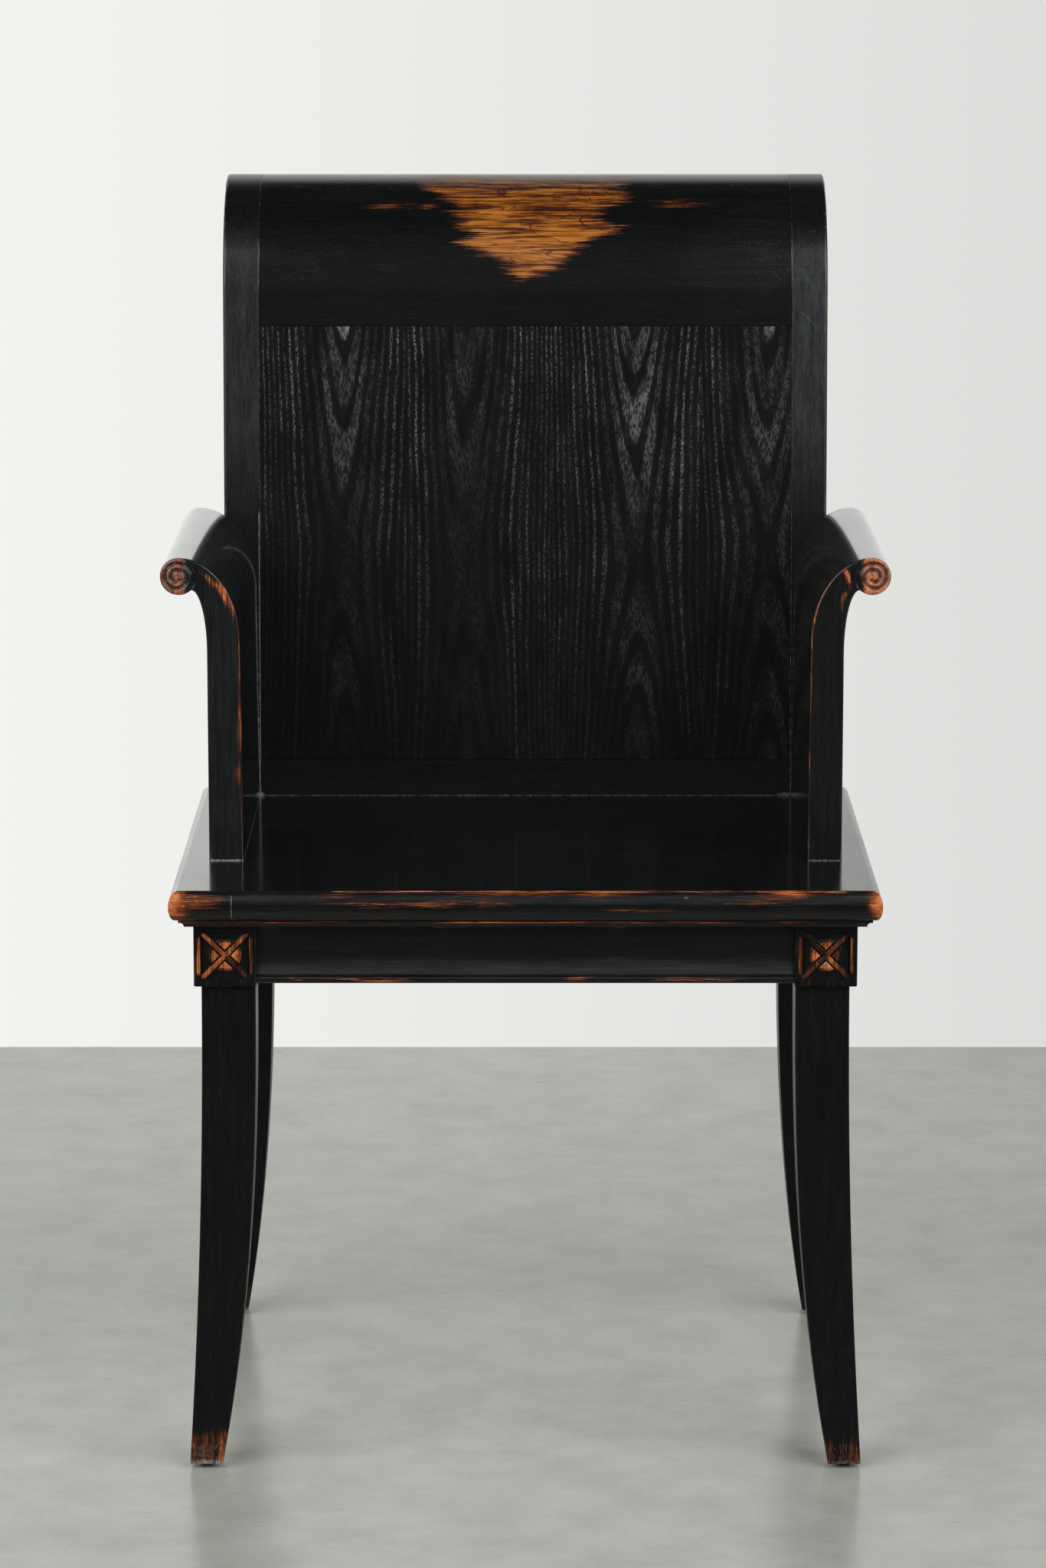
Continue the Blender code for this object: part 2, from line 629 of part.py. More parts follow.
def back():
    rear = BACK_THICK / math.cos(BACK_RECLINE)
    reach = TONGUE_LENGTH * 0.7
    panel_front, panel_rear = PANEL_SINK, BACK_PANEL_THICK
    tongue_front, tongue_rear = PANEL_SINK + PANEL_LIP, BACK_PANEL_THICK - PANEL_LIP
    rails = {}
    crest_low = roll_start + GAP
    rails["crest"] = prism("crest_roll", roll_section(crest_low), "X", -stile_in + GAP, stile_in - GAP)
    rails["top"] = prism("back_rail_top", back_strip(top_rail_low, roll_start, 0, rear), "X",
                         -stile_in + GAP, stile_in - GAP)
    rails["bottom"] = prism("back_rail_bottom", back_strip(SEAT_HEIGHT + GAP, bottom_rail_top, 0, rear), "X",
                            -stile_in + GAP, stile_in - GAP)
    low, high = bottom_rail_top + GAP, top_rail_low - GAP
    panel = prism("back_panel", back_strip(low, high, panel_front, panel_rear), "X", -stile_in + GAP,
                  stile_in - GAP, colour=PANEL_LACQUER, rough=0.3)
    tongue = back_strip(low - reach, high + reach, tongue_front, tongue_rear)
    add(panel, prism("tongue_panel", tongue, "X", -stile_in - reach, stile_in + reach))
    groove = back_strip(low - reach - GAP, high + reach + GAP, tongue_front - GAP, tongue_rear + GAP)
    for rail in ("top", "bottom"):
        cut(rails[rail], prism("cut_groove_" + rail, groove, "X", -back_half, back_half))
    for name, side in SIDES:
        x0, x1 = mirror(side, stile_in, back_half)
        stile = prism("back_stile_" + name, roll_section(SEAT_HEIGHT + GAP), "X", x0, x1)
        tenon_low, tenon_high = stile_tenon(side, ROOT)
        add(stile, box("tenon_stile_" + name, (tenon_low[0], tenon_low[1], tenon_low[2] + GAP), tenon_high))
        g0, g1 = mirror(side, stile_in - ROOT, stile_in + reach + GAP)
        cut(stile, prism("cut_groove_" + name, groove, "X", g0, g1))
        for rail, z, tall in rail_tenons():
            inset = (back_face(z, BACK_THICK * 0.62) if rail != "crest" else roll_y)
            t0, t1 = mirror(side, stile_in - ROOT, stile_in + TENON_LENGTH)
            low_box = (t0, inset - TENON_THICK / 2, z - tall / 2)
            high_box = (t1, inset + TENON_THICK / 2, z + tall / 2)
            add(rails[rail], box("tenon_%s_%s" % (rail, name), low_box, high_box))
            socket(stile, "cut_tenon_%s_%s" % (rail, name), low_box, high_box)
        swirl = spiral_groove(1.75, ROLL_SCROLL * 0.72, ROLL_SCROLL * 0.24, SPIRAL_WIDE, 1,
                              (roll_y, roll_z + ROLL_RADIUS - ROLL_SCROLL), 215)
        s0, s1 = mirror(side, back_half - SPIRAL_DEEP, back_half + SPIRAL_DEEP)
        cut(stile, prism("cut_end_spiral_" + name, swirl, "X", s0, s1))
        x = side * (arm_inner + ARM_THICK / 2)
        for i, z in enumerate(stile_dowel_heights()):
            joint = back_face(z, 0)
            cut(stile, rod("cut_stile_dowel_%s_%d" % (name, i), "Y", (x, z), DOWEL_RADIUS + GAP,
                           joint - RUN_PAST, joint + DOWEL_LENGTH * 0.42 + GAP))


def rail_tenons():
    scroll_centre = roll_z + ROLL_RADIUS - ROLL_SCROLL
    return (("bottom", (SEAT_HEIGHT + bottom_rail_top) / 2, RAIL_TENON_TALL),
            ("top", (top_rail_low + roll_start) / 2, RAIL_TENON_TALL),
            ("crest", scroll_centre, RAIL_TENON_TALL - SPIRAL_DEEP))


clear_scene()
seat()
legs()
aprons()
corner_braces()
arms()
back()
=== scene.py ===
import math

import bmesh
import bpy
import numpy as np
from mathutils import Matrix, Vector, kdtree
from mathutils.geometry import delaunay_2d_cdt


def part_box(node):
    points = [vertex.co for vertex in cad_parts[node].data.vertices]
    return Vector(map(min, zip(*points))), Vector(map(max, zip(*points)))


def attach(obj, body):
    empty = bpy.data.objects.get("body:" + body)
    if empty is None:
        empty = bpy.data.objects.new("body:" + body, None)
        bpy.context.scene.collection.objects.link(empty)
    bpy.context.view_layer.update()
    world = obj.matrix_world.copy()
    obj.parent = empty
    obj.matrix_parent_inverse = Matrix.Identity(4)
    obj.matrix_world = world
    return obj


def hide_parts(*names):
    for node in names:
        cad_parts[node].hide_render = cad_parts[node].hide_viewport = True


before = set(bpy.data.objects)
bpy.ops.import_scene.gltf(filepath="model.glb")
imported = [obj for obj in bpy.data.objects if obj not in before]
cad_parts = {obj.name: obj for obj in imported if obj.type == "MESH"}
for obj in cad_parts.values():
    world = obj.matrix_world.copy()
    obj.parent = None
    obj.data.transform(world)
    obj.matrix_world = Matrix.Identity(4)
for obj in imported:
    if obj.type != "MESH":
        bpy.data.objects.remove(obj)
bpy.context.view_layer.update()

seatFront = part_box("seat_rail_front")[0][1]  # y below is measured back from the seat's front edge
sides = (("left", -1), ("right", 1))
ends = (("front", False), ("rear", True))
print("frame loaded, %d nodes" % len(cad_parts))


class Wire:  # one socket of a node tree; sums written on it become Math nodes
    def __init__(self, tree, socket=None):
        self.tree, self.socket = tree, socket

    def feed(self, node, sockets):
        for key, value in sockets.items():
            if isinstance(value, Wire):
                self.tree.links.new(value.socket, node.inputs[key])
            else:
                node.inputs[key].default_value = value

    def make(self, kind, settings=None, sockets=None, output=0):
        node = self.tree.nodes.new("ShaderNode" + kind)
        for key, value in (settings or {}).items():
            if key == "stops":  # places and colours of a ramp
                while len(node.color_ramp.elements) < len(value):
                    node.color_ramp.elements.new(1.0)
                for element, (place, colour) in zip(node.color_ramp.elements, value):
                    element.position, element.color = place, colour
            else:
                setattr(node, key, value)
        self.feed(node, sockets or {})
        return Wire(self.tree, node.outputs[output])

    def sum(self, operation, first, second=0.0):
        return self.make("Math", {"operation": operation}, {0: first, 1: second})

    def __add__(self, other):
        return self.sum("ADD", self, other)

    def __sub__(self, other):
        return self.sum("SUBTRACT", self, other)

    def __rsub__(self, other):
        return self.sum("SUBTRACT", other, self)

    def __mul__(self, other):
        return self.sum("MULTIPLY", self, other)

    def __truediv__(self, other):
        return self.sum("DIVIDE", self, other)

    def __rtruediv__(self, other):
        return self.sum("DIVIDE", other, self)

    def __pow__(self, other):
        return self.sum("POWER", self, other)

    def __abs__(self):
        return self.sum("ABSOLUTE", self)

    __radd__, __rmul__ = __add__, __mul__

    def least(self, other):
        return self.sum("MINIMUM", self, other)

    def floor(self):
        return self.sum("FLOOR", self)

    def rise(self, low, high):  # soft step from 0 at low to 1 at high
        span = {"Value": self, "From Min": low, "From Max": high}
        return self.make("MapRange", {"interpolation_type": "SMOOTHSTEP"}, span)

    def blend(self, first, second):  # colour between two, by this value
        return self.make("Mix", {"data_type": "RGBA"}, {0: self, 6: first, 7: second}, 2)

    def stretch(self, factors):
        return self.make("VectorMath", {"operation": "MULTIPLY"}, {0: self, 1: factors})

    def axis(self, label):
        return self.make("SeparateXYZ", {}, {0: self}, label)

    def noise(self, scale, detail=3.0, rough=0.5, twist=0.0):
        sockets = {"Vector": self, "Scale": scale, "Detail": detail, "Roughness": rough, "Distortion": twist}
        return self.make("TexNoise", {}, sockets)

    def bump(self, distance, strength=0.5):
        return self.make("Bump", {}, {"Strength": strength, "Distance": distance, "Height": self})

    def painted(self, label):  # a value kept on the mesh's points
        return self.make("Attribute", {"attribute_name": label}, output="Fac")


def newFinish(name):
    material = bpy.data.materials.new(name)
    material.use_nodes = True
    wire = Wire(material.node_tree)
    return material, wire, wire.tree.nodes["Principled BSDF"], wire.make("TexCoord", output="Object")


lacquerLook = dict(  # colours, scales and how much each layer counts
    black=(0.0019, 0.0022, 0.0023, 1), greyed=(0.040, 0.044, 0.046, 1), undercoat=(0.062, 0.017, 0.006, 1),
    woodDark=(0.026, 0.008, 0.003, 1), dust=(0.30, 0.295, 0.27, 1),
    waxRough=0.07, bareRough=0.30, relief=0.00014,
    fine=1000.0, bands=210.0, hairs=1500.0, figure=110.0, clouds=11.0,  # scales of the grain
    scratches=640.0, specks=640.0, swirls=30.0, blotches=170.0, crumbs=360.0,  # scales of marks and dirt
    drawn=0.08, drawnFine=0.030, slant=0.8,  # stretch along the grain, slope of the scratches
    fray=(0.46, 0.32, 0.60, 0.38),  # fine lines, bands, hairs and clouds in the edge of the wear
    thin=(0.36, 0.56), bare=(0.47, 0.74),  # rubbing at which the film thins and breaks
    brown=(0.08, 0.50), pale=(0.40, 0.86), settle=(0.36, 1.0), calm=0.75,
    grey=dict(haze=0.10, hazeSheenFine=0.60, hazeSheenBands=0.50, pores=0.20, scratch=0.5, specks=0.4),
    wood=dict(figure=0.55, fine=0.40, bands=0.20, blotch=0.45, worn=0.80, lines=0.65),
    rough=dict(smudge=0.08, pores=0.10, scratch=0.15, haze=0.12, dust=0.4),
    height=dict(film=0.55, pores=0.45, fine=0.12, scratch=0.2))
golden = dict(wood=(0.150, 0.036, 0.004, 1), pale=(0.390, 0.135, 0.016, 1))
ruddy = dict(wood=(0.185, 0.042, 0.010, 1), pale=(0.560, 0.170, 0.052, 1))
touch, speck = (0.02, 0.12), (0.02, 0.15)  # least painted wear and dust that count


def lacquerFinish(name, grain, gloss, shine, brush, under=ruddy):  # black, rubbed through to orange wood
    look = lacquerLook
    grey, wood, matt, high = (look[part] for part in ("grey", "wood", "rough", "height"))
    material, wire, shader, place = newFinish(name)
    short, long = ([look[run] if axis == grain else 1.0 for axis in "xyz"] for run in ("drawn", "drawnFine"))
    fine = place.stretch(long).noise(look["fine"], 3.0, 0.6).rise(0.30, 0.70)
    bands = place.stretch(short).noise(look["bands"]).rise(0.30, 0.70)
    hairs = place.stretch(short).noise(look["hairs"], 2.0)
    figure = place.stretch(short).noise(look["figure"], 3.0, 0.6, 1.2).rise(0.28, 0.72)
    clouds, crumbs = place.noise(look["clouds"], 4.0), place.noise(look["crumbs"], 2.0)
    labels = ("wear", "dust", "haze", "even", "scuff", "polish")
    worn, dusty, hazySheen, even, scuffed, waxed = map(wire.painted, labels)
    fray = [(layer - 0.5) * share for layer, share in zip((fine, bands, hairs, clouds), look["fray"])]
    level = worn + (fray[0] + fray[1] + fray[2] + fray[3]) * (1 - even * look["calm"])
    thin, bare = (level.rise(*look[step]) * worn.rise(*touch) for step in ("thin", "bare"))
    slant = wire.make("VectorRotate", {"rotation_type": "Y_AXIS"}, {"Vector": place, "Angle": look["slant"]})
    scratch = slant.stretch((1.0, 1.0, 0.02)).noise(look["scratches"], 1.0).rise(0.67, 0.75) * scuffed
    pores = hairs.rise(0.58, 0.74) * fine
    specks = place.noise(look["specks"], 1.0).rise(0.75, 0.80)
    # the black film greys where haze is painted, which is partly haze on the lacquer and partly painted sheen
    # for grey reflections, and along pores, brush lines, scratches and specks
    mist = hazySheen * (grey["haze"] + fine * grey["hazeSheenFine"] + bands * grey["hazeSheenBands"]) + pores * grey["pores"]
    mist = mist + fine * bands * brush + scratch * grey["scratch"] + specks * grey["specks"]
    film = mist.blend(look["black"], look["greyed"])
    swirl = place.stretch([0.3 + 0.7 * s for s in short]).noise(look["swirls"], 2.0, 0.5, 1.5)
    swirl = abs(swirl - 0.5).rise(0.0, 0.016)
    blotch = place.noise(look["blotches"], 4.0).rise(0.25, 0.75)
    grainy = (figure * wood["figure"] + fine * wood["fine"] + bands * wood["bands"]) * (1 - even * 0.85)
    grainy = grainy + (0.35 + blotch * wood["blotch"]) * even
    lines = 1 - wood["lines"] + swirl * wood["lines"] + even * (1 - swirl) * 0.5
    tone = (grainy + (level - 0.9) * wood["worn"]) * lines
    timber = tone.rise(*look["brown"]).blend(look["woodDark"], under["wood"])
    timber = tone.rise(*look["pale"]).blend(timber, under["pale"])
    colour = bare.blend(thin.blend(film, look["undercoat"]), timber)
    crusty = dusty + (hairs - 0.5) * 0.40 + (crumbs - 0.5) * 0.50
    settled = crusty.rise(*look["settle"]) * dusty.rise(*speck)
    rough = gloss + clouds.rise(0.35, 0.75) * matt["smudge"] + pores * matt["pores"]
    rough = rough + scratch * matt["scratch"] + hazySheen * matt["haze"]
    rough = rough + bare * (look["bareRough"] - gloss) * (1 - even * 0.6) + settled * matt["dust"]
    height = (1 - thin) * high["film"] - pores * high["pores"]
    height = height + fine * high["fine"] - scratch * high["scratch"]
    wire.feed(shader, {"Base Color": settled.blend(colour, look["dust"]), "Roughness": rough,
                       "Normal": height.bump(look["relief"]), "Coat Weight": waxed,
                       "Coat Roughness": look["waxRough"], "Specular IOR Level": shine})
    return material


seatAcross = lacquerFinish("lacquer_seat_across", "x", 0.14, 0.35, 0.17)
seatDeep = lacquerFinish("lacquer_seat_deep", "y", 0.14, 0.35, 0.17)
armUp = lacquerFinish("lacquer_arm_up", "z", 0.16, 0.5, 0.08)
backAcross = lacquerFinish("lacquer_back_across", "x", 0.12, 0.42, 0.06, golden)
backUp = lacquerFinish("lacquer_back_up", "z", 0.20, 0.45, 0.08)
dullAcross = lacquerFinish("lacquer_dull_across", "x", 0.30, 0.28, 0.08)
dullDeep = lacquerFinish("lacquer_dull_deep", "y", 0.30, 0.28, 0.08)
dullUp = lacquerFinish("lacquer_dull_up", "z", 0.36, 0.14, 0.09)

figureLook = dict(  # open-grained back panel: V figures at the top, peaks at the foot; its light grey grain lines are partly the wood's figure and partly painted sheen
    columns=(-0.1645, -0.0550, 0.1020, 0.2200), middle=0.7435, bend=0.025, tip=0.0045, rounder=0.0075,
    climb=15.0, pull=0.045, tight=42, widen=0.034, waver=(0.010, 0.05), drift=2.4,  # spacing of the rings
    black=(0.0024, 0.0027, 0.0026, 1), sheenGrey=(0.205, 0.211, 0.203, 1), low=0.53, high=0.94, least=0.27,
    gloss=0.27, shine=0.25, relief=0.00015, dashes=1300.0, flecks=640.0, breaks=190.0, clumps=60.0,
    clouds=8.0, filled=0.10, faint=0.05, weak=0.32)


def panelFinish():
    look = figureLook
    material, wire, shader, place = newFinish("panel_open_grain")
    across, height = place.axis("X"), place.axis("Z")
    waver, drift = place.stretch((9.0, 1.0, 3.0)).noise(1.0), place.stretch((1.0, 1.0, 0.25)).noise(16.0, 2.0)
    line = across + (waver - 0.5) * look["waver"][0]
    aside = abs(line - look["columns"][0])
    for column in look["columns"][1:]:
        aside = aside.least(abs(line - column))
    tip = look["tip"] + (1 - height.rise(0.68, 0.80)) * look["rounder"]
    aside = (aside * aside + tip * tip) ** 0.5
    lift = height - look["middle"] + (waver - 0.5) * look["waver"][1]
    lift = (lift * lift + look["bend"] ** 2) ** 0.5
    pull = 1 / (1 + (aside / look["pull"]) ** 2)
    phase = aside * look["tight"] + (aside / look["widen"]) ** 2.2 - lift * pull * look["climb"]
    phase = phase + (drift - 0.5) * look["drift"] + 40  # kept above zero
    wave = abs(phase - phase.floor() - 0.5) * 2
    band = (wave - aside.rise(0.014, 0.034) * 0.24).rise(0.26, 0.56)
    ring = wire.make("TexWhiteNoise", {"noise_dimensions": "1D"}, {"W": (phase + 0.5).floor()})
    dashes, flecks = (place.stretch((1.0, 1.0, 0.30)).noise(look[size], 3.0, 0.6)
                      for size in ("dashes", "flecks"))
    breaks = place.stretch((1.0, 1.0, 0.45)).noise(look["breaks"], 2.0).rise(0.32, 0.58)
    clumps = place.stretch((1.0, 1.0, 0.22)).noise(look["clumps"])
    cloud = place.stretch((1.0, 1.0, 0.6)).noise(look["clouds"], 2.0).rise(0.30, 0.70)
    # painted highlight: the grain lines grow brighter towards the top, as if lit from above, and dimmer low
    # on the left
    fade = height.rise(look["low"], look["high"]) * (1 - look["least"]) + look["least"]
    fade = fade * (1 - (1 - across.rise(-0.24, 0.04)) * (1 - height.rise(0.70, 0.86)) * 0.70)
    near = 1 - aside.rise(0.010, 0.030)
    pores = (dashes * (1 - near) + flecks * near + near * 0.03).rise(0.46, 0.60) * (breaks * 0.7 + 0.3)
    weak = abs(across - look["columns"][1]).rise(0.01, 0.05) * (1 - look["weak"]) + look["weak"]
    filled = near * look["filled"]
    calm = 1 - near * (1 - lift.rise(0.03, 0.11)) * 0.5
    strong = (pores * (1 - filled) + filled) * band * (0.9 + near * 0.6) * clumps.rise(0.22, 0.62)
    strong = strong * (0.12 + ring * 0.88) * (0.50 + cloud * 0.70) * weak * calm
    shine = (strong + pores * (1 - band) * clumps.rise(0.40, 0.70) * look["faint"]) * fade
    dusty = wire.painted("dust")
    settled = (dusty + (dashes - 0.5) * 0.9).rise(0.40, 0.95) * dusty.rise(*speck)
    colour = settled.blend(shine.blend(look["black"], look["sheenGrey"]), lacquerLook["dust"])
    wire.feed(shader, {"Base Color": colour, "Roughness": look["gloss"] + shine * 0.3 + (clumps - 0.5) * 0.12,
                       "Normal": (strong * -0.8 + dashes * 0.15).bump(look["relief"]),
                       "Specular IOR Level": look["shine"]})
    return material


bareLook = dict(pale=(0.47, 0.275, 0.125, 1), dark=(0.25, 0.125, 0.050, 1),
                rings=170.0, stains=22.0, relief=0.0003)


def bareWoodFinish():  # braces and dowels, never lacquered
    material, wire, shader, place = newFinish("bare_wood_grain")
    rings = place.stretch((1.0, 0.12, 1.0)).noise(bareLook["rings"], 5.0, 0.6)
    stain = place.noise(bareLook["stains"], 4.0)
    colour = (rings.rise(0.36, 0.64) * 0.8 + stain * 0.3).blend(bareLook["dark"], bareLook["pale"])
    wire.feed(shader, {"Base Color": colour, "Roughness": 0.55 + stain * 0.25,
                       "Normal": rings.bump(bareLook["relief"])})
    return material


steelLook = dict(clean=(0.055, 0.053, 0.050, 1), rust=(0.080, 0.038, 0.018, 1),
                 metal=0.8, spots=420.0, relief=0.0002)


def glideFinish():  # dulled steel nail heads under the feet
    material, wire, shader, place = newFinish("glide_dull_steel")
    spots = place.noise(steelLook["spots"], 4.0)
    rusty = spots.rise(0.5, 0.7)
    wire.feed(shader, {"Base Color": rusty.blend(steelLook["clean"], steelLook["rust"]),
                       "Roughness": 0.38 + rusty * 0.3, "Metallic": steelLook["metal"],
                       "Normal": spots.bump(steelLook["relief"], 0.4)})
    return material


panelGrain, bareWood, glideSteel = panelFinish(), bareWoodFinish(), glideFinish()
print("finishes made")


def clamp(value, low=0.0, high=1.0):
    return min(max(value, low), high)


def easeLead(radius, steps=4):  # offsets of a rounded end, from its face to where the side is straight
    turn = [math.pi / 2 * i / steps for i in range(steps + 1)]
    return [radius * (1 - math.cos(t)) for t in turn]


def edgeLead(radius, steps=4):  # the same for a box whose edge zone is later turned into an arc
    turn = [math.pi / 4 * (1 - i / steps) for i in range(steps + 1)]
    return [radius * (1 - math.tan(t)) for t in turn]


def stops(low, high, lead=(0.0,), fine=0.0009, coarse=0.012, extra=()):  # marks, closest at the ends
    offsets, step, half = list(lead), fine, (high - low) / 2
    while offsets[-1] + step * 0.7 < half:
        offsets.append(min(offsets[-1] + step, half))
        step = min(step * 1.6, coarse)
    marks = [low + o for o in offsets] + [high - o for o in offsets] + [e for e in extra if low < e < high]
    apart = []
    for mark in sorted(marks):
        if not apart or mark - apart[-1] > 1e-5:
            apart.append(mark)
    return apart


def latticeBox(xs, ys, zs, radius):  # skin of a box over three rows of stops, round at every edge
    low, high = (xs[0], ys[0], zs[0]), (xs[-1], ys[-1], zs[-1])
    index, points, faces = {}, [], []

    def spot(i, j, k):
        if (i, j, k) not in index:
            p = (xs[i], ys[j], zs[k])
            core = Vector([clamp(p[a], low[a] + radius, high[a] - radius) for a in range(3)])
            off = Vector(p) - core
            index[i, j, k] = len(points)
            points.append(tuple(core + off.normalized() * radius) if off.length > 1e-9 else p)
        return index[i, j, k]

    last = (len(xs) - 1, len(ys) - 1, len(zs) - 1)
    for a, b, c in ((0, 1, 2), (1, 2, 0), (2, 0, 1)):  # faces across axis c
        for k in (0, last[c]):
            for i in range(last[a]):
                for j in range(last[b]):
                    quad = []
                    for di, dj in ((0, 0), (1, 0), (1, 1), (0, 1)):
                        cell = [0, 0, 0]
                        cell[a], cell[b], cell[c] = i + di, j + dj, k
                        quad.append(spot(*cell))
                    faces.append(tuple(quad))
    return points, faces


def arcRun(cu, cv, ru, rv, first, last, steps):
    turn = [math.radians(first + (last - first) * i / steps) for i in range(steps + 1)]
    return [(cu + ru * math.cos(t), cv + rv * math.sin(t)) for t in turn]


def refineRun(outline, fine, coarse):  # long straight runs get stops, close at their ends
    outline = [p for i, p in enumerate(outline) if math.dist(p, outline[i - 1]) > 1e-5]
    result = []
    for i, here in enumerate(outline):
        there = outline[(i + 1) % len(outline)]
        length = math.dist(here, there)
        result.append(here)
        if length > 2 * fine:
            for s in stops(0.0, length, (0.0,), fine, coarse)[1:-1]:
                result.append(tuple(a + (b - a) * s / length for a, b in zip(here, there)))
    return result


def insetRun(outline, amount):
    ring = np.array(outline)
    into, out = ring - np.roll(ring, 1, 0), np.roll(ring, -1, 0) - ring
    flow = into / np.linalg.norm(into, axis=1)[:, None] + out / np.linalg.norm(out, axis=1)[:, None]
    flow /= np.maximum(np.linalg.norm(flow, axis=1)[:, None], 1e-9)
    spin = np.sum(np.roll(ring, 1, 0)[:, 0] * ring[:, 1] - ring[:, 0] * np.roll(ring, 1, 0)[:, 1])
    inward = np.stack([-flow[:, 1], flow[:, 0]], 1) * (1 if spin > 0 else -1)
    return ring + inward * amount


def ringDistance(points, ring):
    best = np.full(len(points), 1.0)
    for start, step in zip(ring, np.roll(ring, -1, 0) - ring):
        t = np.clip((points - start) @ step / max(step @ step, 1e-16), 0, 1)
        best = np.minimum(best, np.linalg.norm(points - start - t[:, None] * step, axis=1))
    return best


def insideRing(points, ring):
    count = np.zeros(len(points), int)
    for (ax, ay), (bx, by) in zip(ring, np.roll(ring, -1, 0)):
        if ay != by:
            between = (ay > points[:, 1]) != (by > points[:, 1])
            count += between & (points[:, 0] < (bx - ax) * (points[:, 1] - ay) / (by - ay) + ax)
    return count % 2 == 1


def capFill(ring, rows, dense=None):  # triangles inside a ring, with rows of points set in from it
    inner, clear, spaced = [], 0.93, 0.45  # shares of a row's inset
    for row in rows:
        tries = insetRun(ring, row)
        keep = insideRing(tries, ring) & (ringDistance(tries, ring) > row * clear)
        for p in tries[keep]:
            if not inner or min(math.dist(p, q) for q in inner[-3:]) > row * spaced:
                inner.append(tuple(p))
    if dense:  # a fine grid of points in a circle
        u, v, reach, step = dense
        inner = [p for p in inner if math.dist(p, (u, v)) > reach]
        row, squeeze = np.arange(-reach, reach + step / 2, step), 0.87
        grid = np.array([(u + a + (step / 2 if k % 2 else 0), v + b * squeeze)
                         for k, b in enumerate(row / squeeze) for a in row
                         if math.hypot(a, b * squeeze) < reach])
        keep = insideRing(grid, ring) & (ringDistance(grid, ring) > step * 0.55)
        inner += [tuple(p) for p in grid[keep]]
    flat = [Vector(p) for p in list(map(tuple, ring)) + inner]
    found = delaunay_2d_cdt(flat, [], [list(range(len(ring)))], 1, 1e-9)
    return [tuple(p) for p in found[0]], [tuple(f) for f in found[2]], found[3]


def sweepSkin(outline, low, high, marks, eases=(0.0, 0.0), rows=(), dense=None, relief=None):
    points, faces, rings = [], [], []  # outline in (u, v) swept along w from low to high, round at both ends
    n, length = len(outline), marks[-1]
    for mark in marks:
        near, radius = (mark, eases[0]) if mark < length / 2 else (length - mark, eases[1])
        inset = radius - math.sqrt(max(radius ** 2 - (radius - near) ** 2, 0.0)) if near < radius else 0.0
        rings.append(insetRun(outline, inset))
        for u, v in rings[-1]:
            start = low(u, v)
            points.append((u, v, start + (high(u, v) - start) * mark / length))
    for k in range(len(marks) - 1):
        for i in range(n):
            j = (i + 1) % n
            faces.append((k * n + i, k * n + j, (k + 1) * n + j, (k + 1) * n + i))
    caps = ((rings[0], 0, low, rows, dense, relief), (rings[-1], (len(marks) - 1) * n, high, (), None, None))
    for ring, first, edge, inRows, grid, carved in caps:  # only the first end is carved
        flat, cells, origins = capFill(ring, inRows, grid)
        number = {}
        for i, p in enumerate(flat):
            if origins[i] and origins[i][0] < n:
                number[i] = first + origins[i][0]
            else:
                number[i] = len(points)
                points.append((p[0], p[1], edge(*p) + (carved(*p) if carved else 0.0)))
        faces += [tuple(number[i] for i in cell) for cell in cells]
    return points, faces


spotFall = 0.8  # how fast a soft spot fades from its middle


def softSpots(points, spots):  # strongest of the soft ellipsoids (centre, half sizes, strength) at each point
    spread = np.zeros(len(points))
    for centre, size, strength in spots:
        gone = np.sum(((np.array(points) - centre) / size) ** 2, axis=1)
        spread = np.maximum(spread, strength * np.exp(-spotFall * gone))
    return spread


def alongLines(points, lines):  # each line: points with a strength as fourth number, and how far it reaches
    spread = np.zeros(len(points))
    for path, reach in lines:
        tree = kdtree.KDTree(len(path))
        for i, p in enumerate(path):
            tree.insert(p[:3], i)
        tree.balance()
        for i, p in enumerate(points):
            _, near, gap = tree.find(p)
            if gap < reach:
                spread[i] = max(spread[i], path[near][3] * (1 - gap / reach))
    return spread


def straight(first, last, strength, reach, step=0.0005):  # one line for alongLines
    count = max(2, int(math.dist(first, last) / step))
    path = [tuple(a + (b - a) * i / count for a, b in zip(first, last)) + (strength,)
            for i in range(count + 1)]
    return path, reach


def acrossLine(x0, x1, y, z, strength, reach):
    return straight((x0, y, z), (x1, y, z), strength, reach)


def deepLine(x, y0, y1, z, strength, reach):
    return straight((x, y0, z), (x, y1, z), strength, reach)


weld, sharpFrom = 2e-6, math.radians(33)  # gap closed in a mesh, angle from which an edge is sharp


def addPiece(name, points, faces, finishes, nodes, shades=None, slot="black_lacquer", **painted):
    mesh = bpy.data.meshes.new(name)
    mesh.from_pydata([(x, y + seatFront, z) for x, y, z in points], [], faces)
    for finish in finishes:
        mesh.materials.append(finish)
    if shades:
        mesh.polygons.foreach_set("material_index", shades)
    for label, values in painted.items():
        mesh.attributes.new(label, "FLOAT", "POINT").data.foreach_set("value", [float(v) for v in values])
    work = bmesh.new()
    work.from_mesh(mesh)
    bmesh.ops.remove_doubles(work, verts=work.verts, dist=weld)
    bmesh.ops.recalc_face_normals(work, faces=work.faces)
    work.to_mesh(mesh)
    work.free()
    mesh.shade_smooth()
    mesh.set_sharp_from_angle(angle=sharpFrom)
    piece = bpy.data.objects.new(name, mesh)
    bpy.context.scene.collection.objects.link(piece)
    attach(piece, "root")
    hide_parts(*nodes)
    return piece


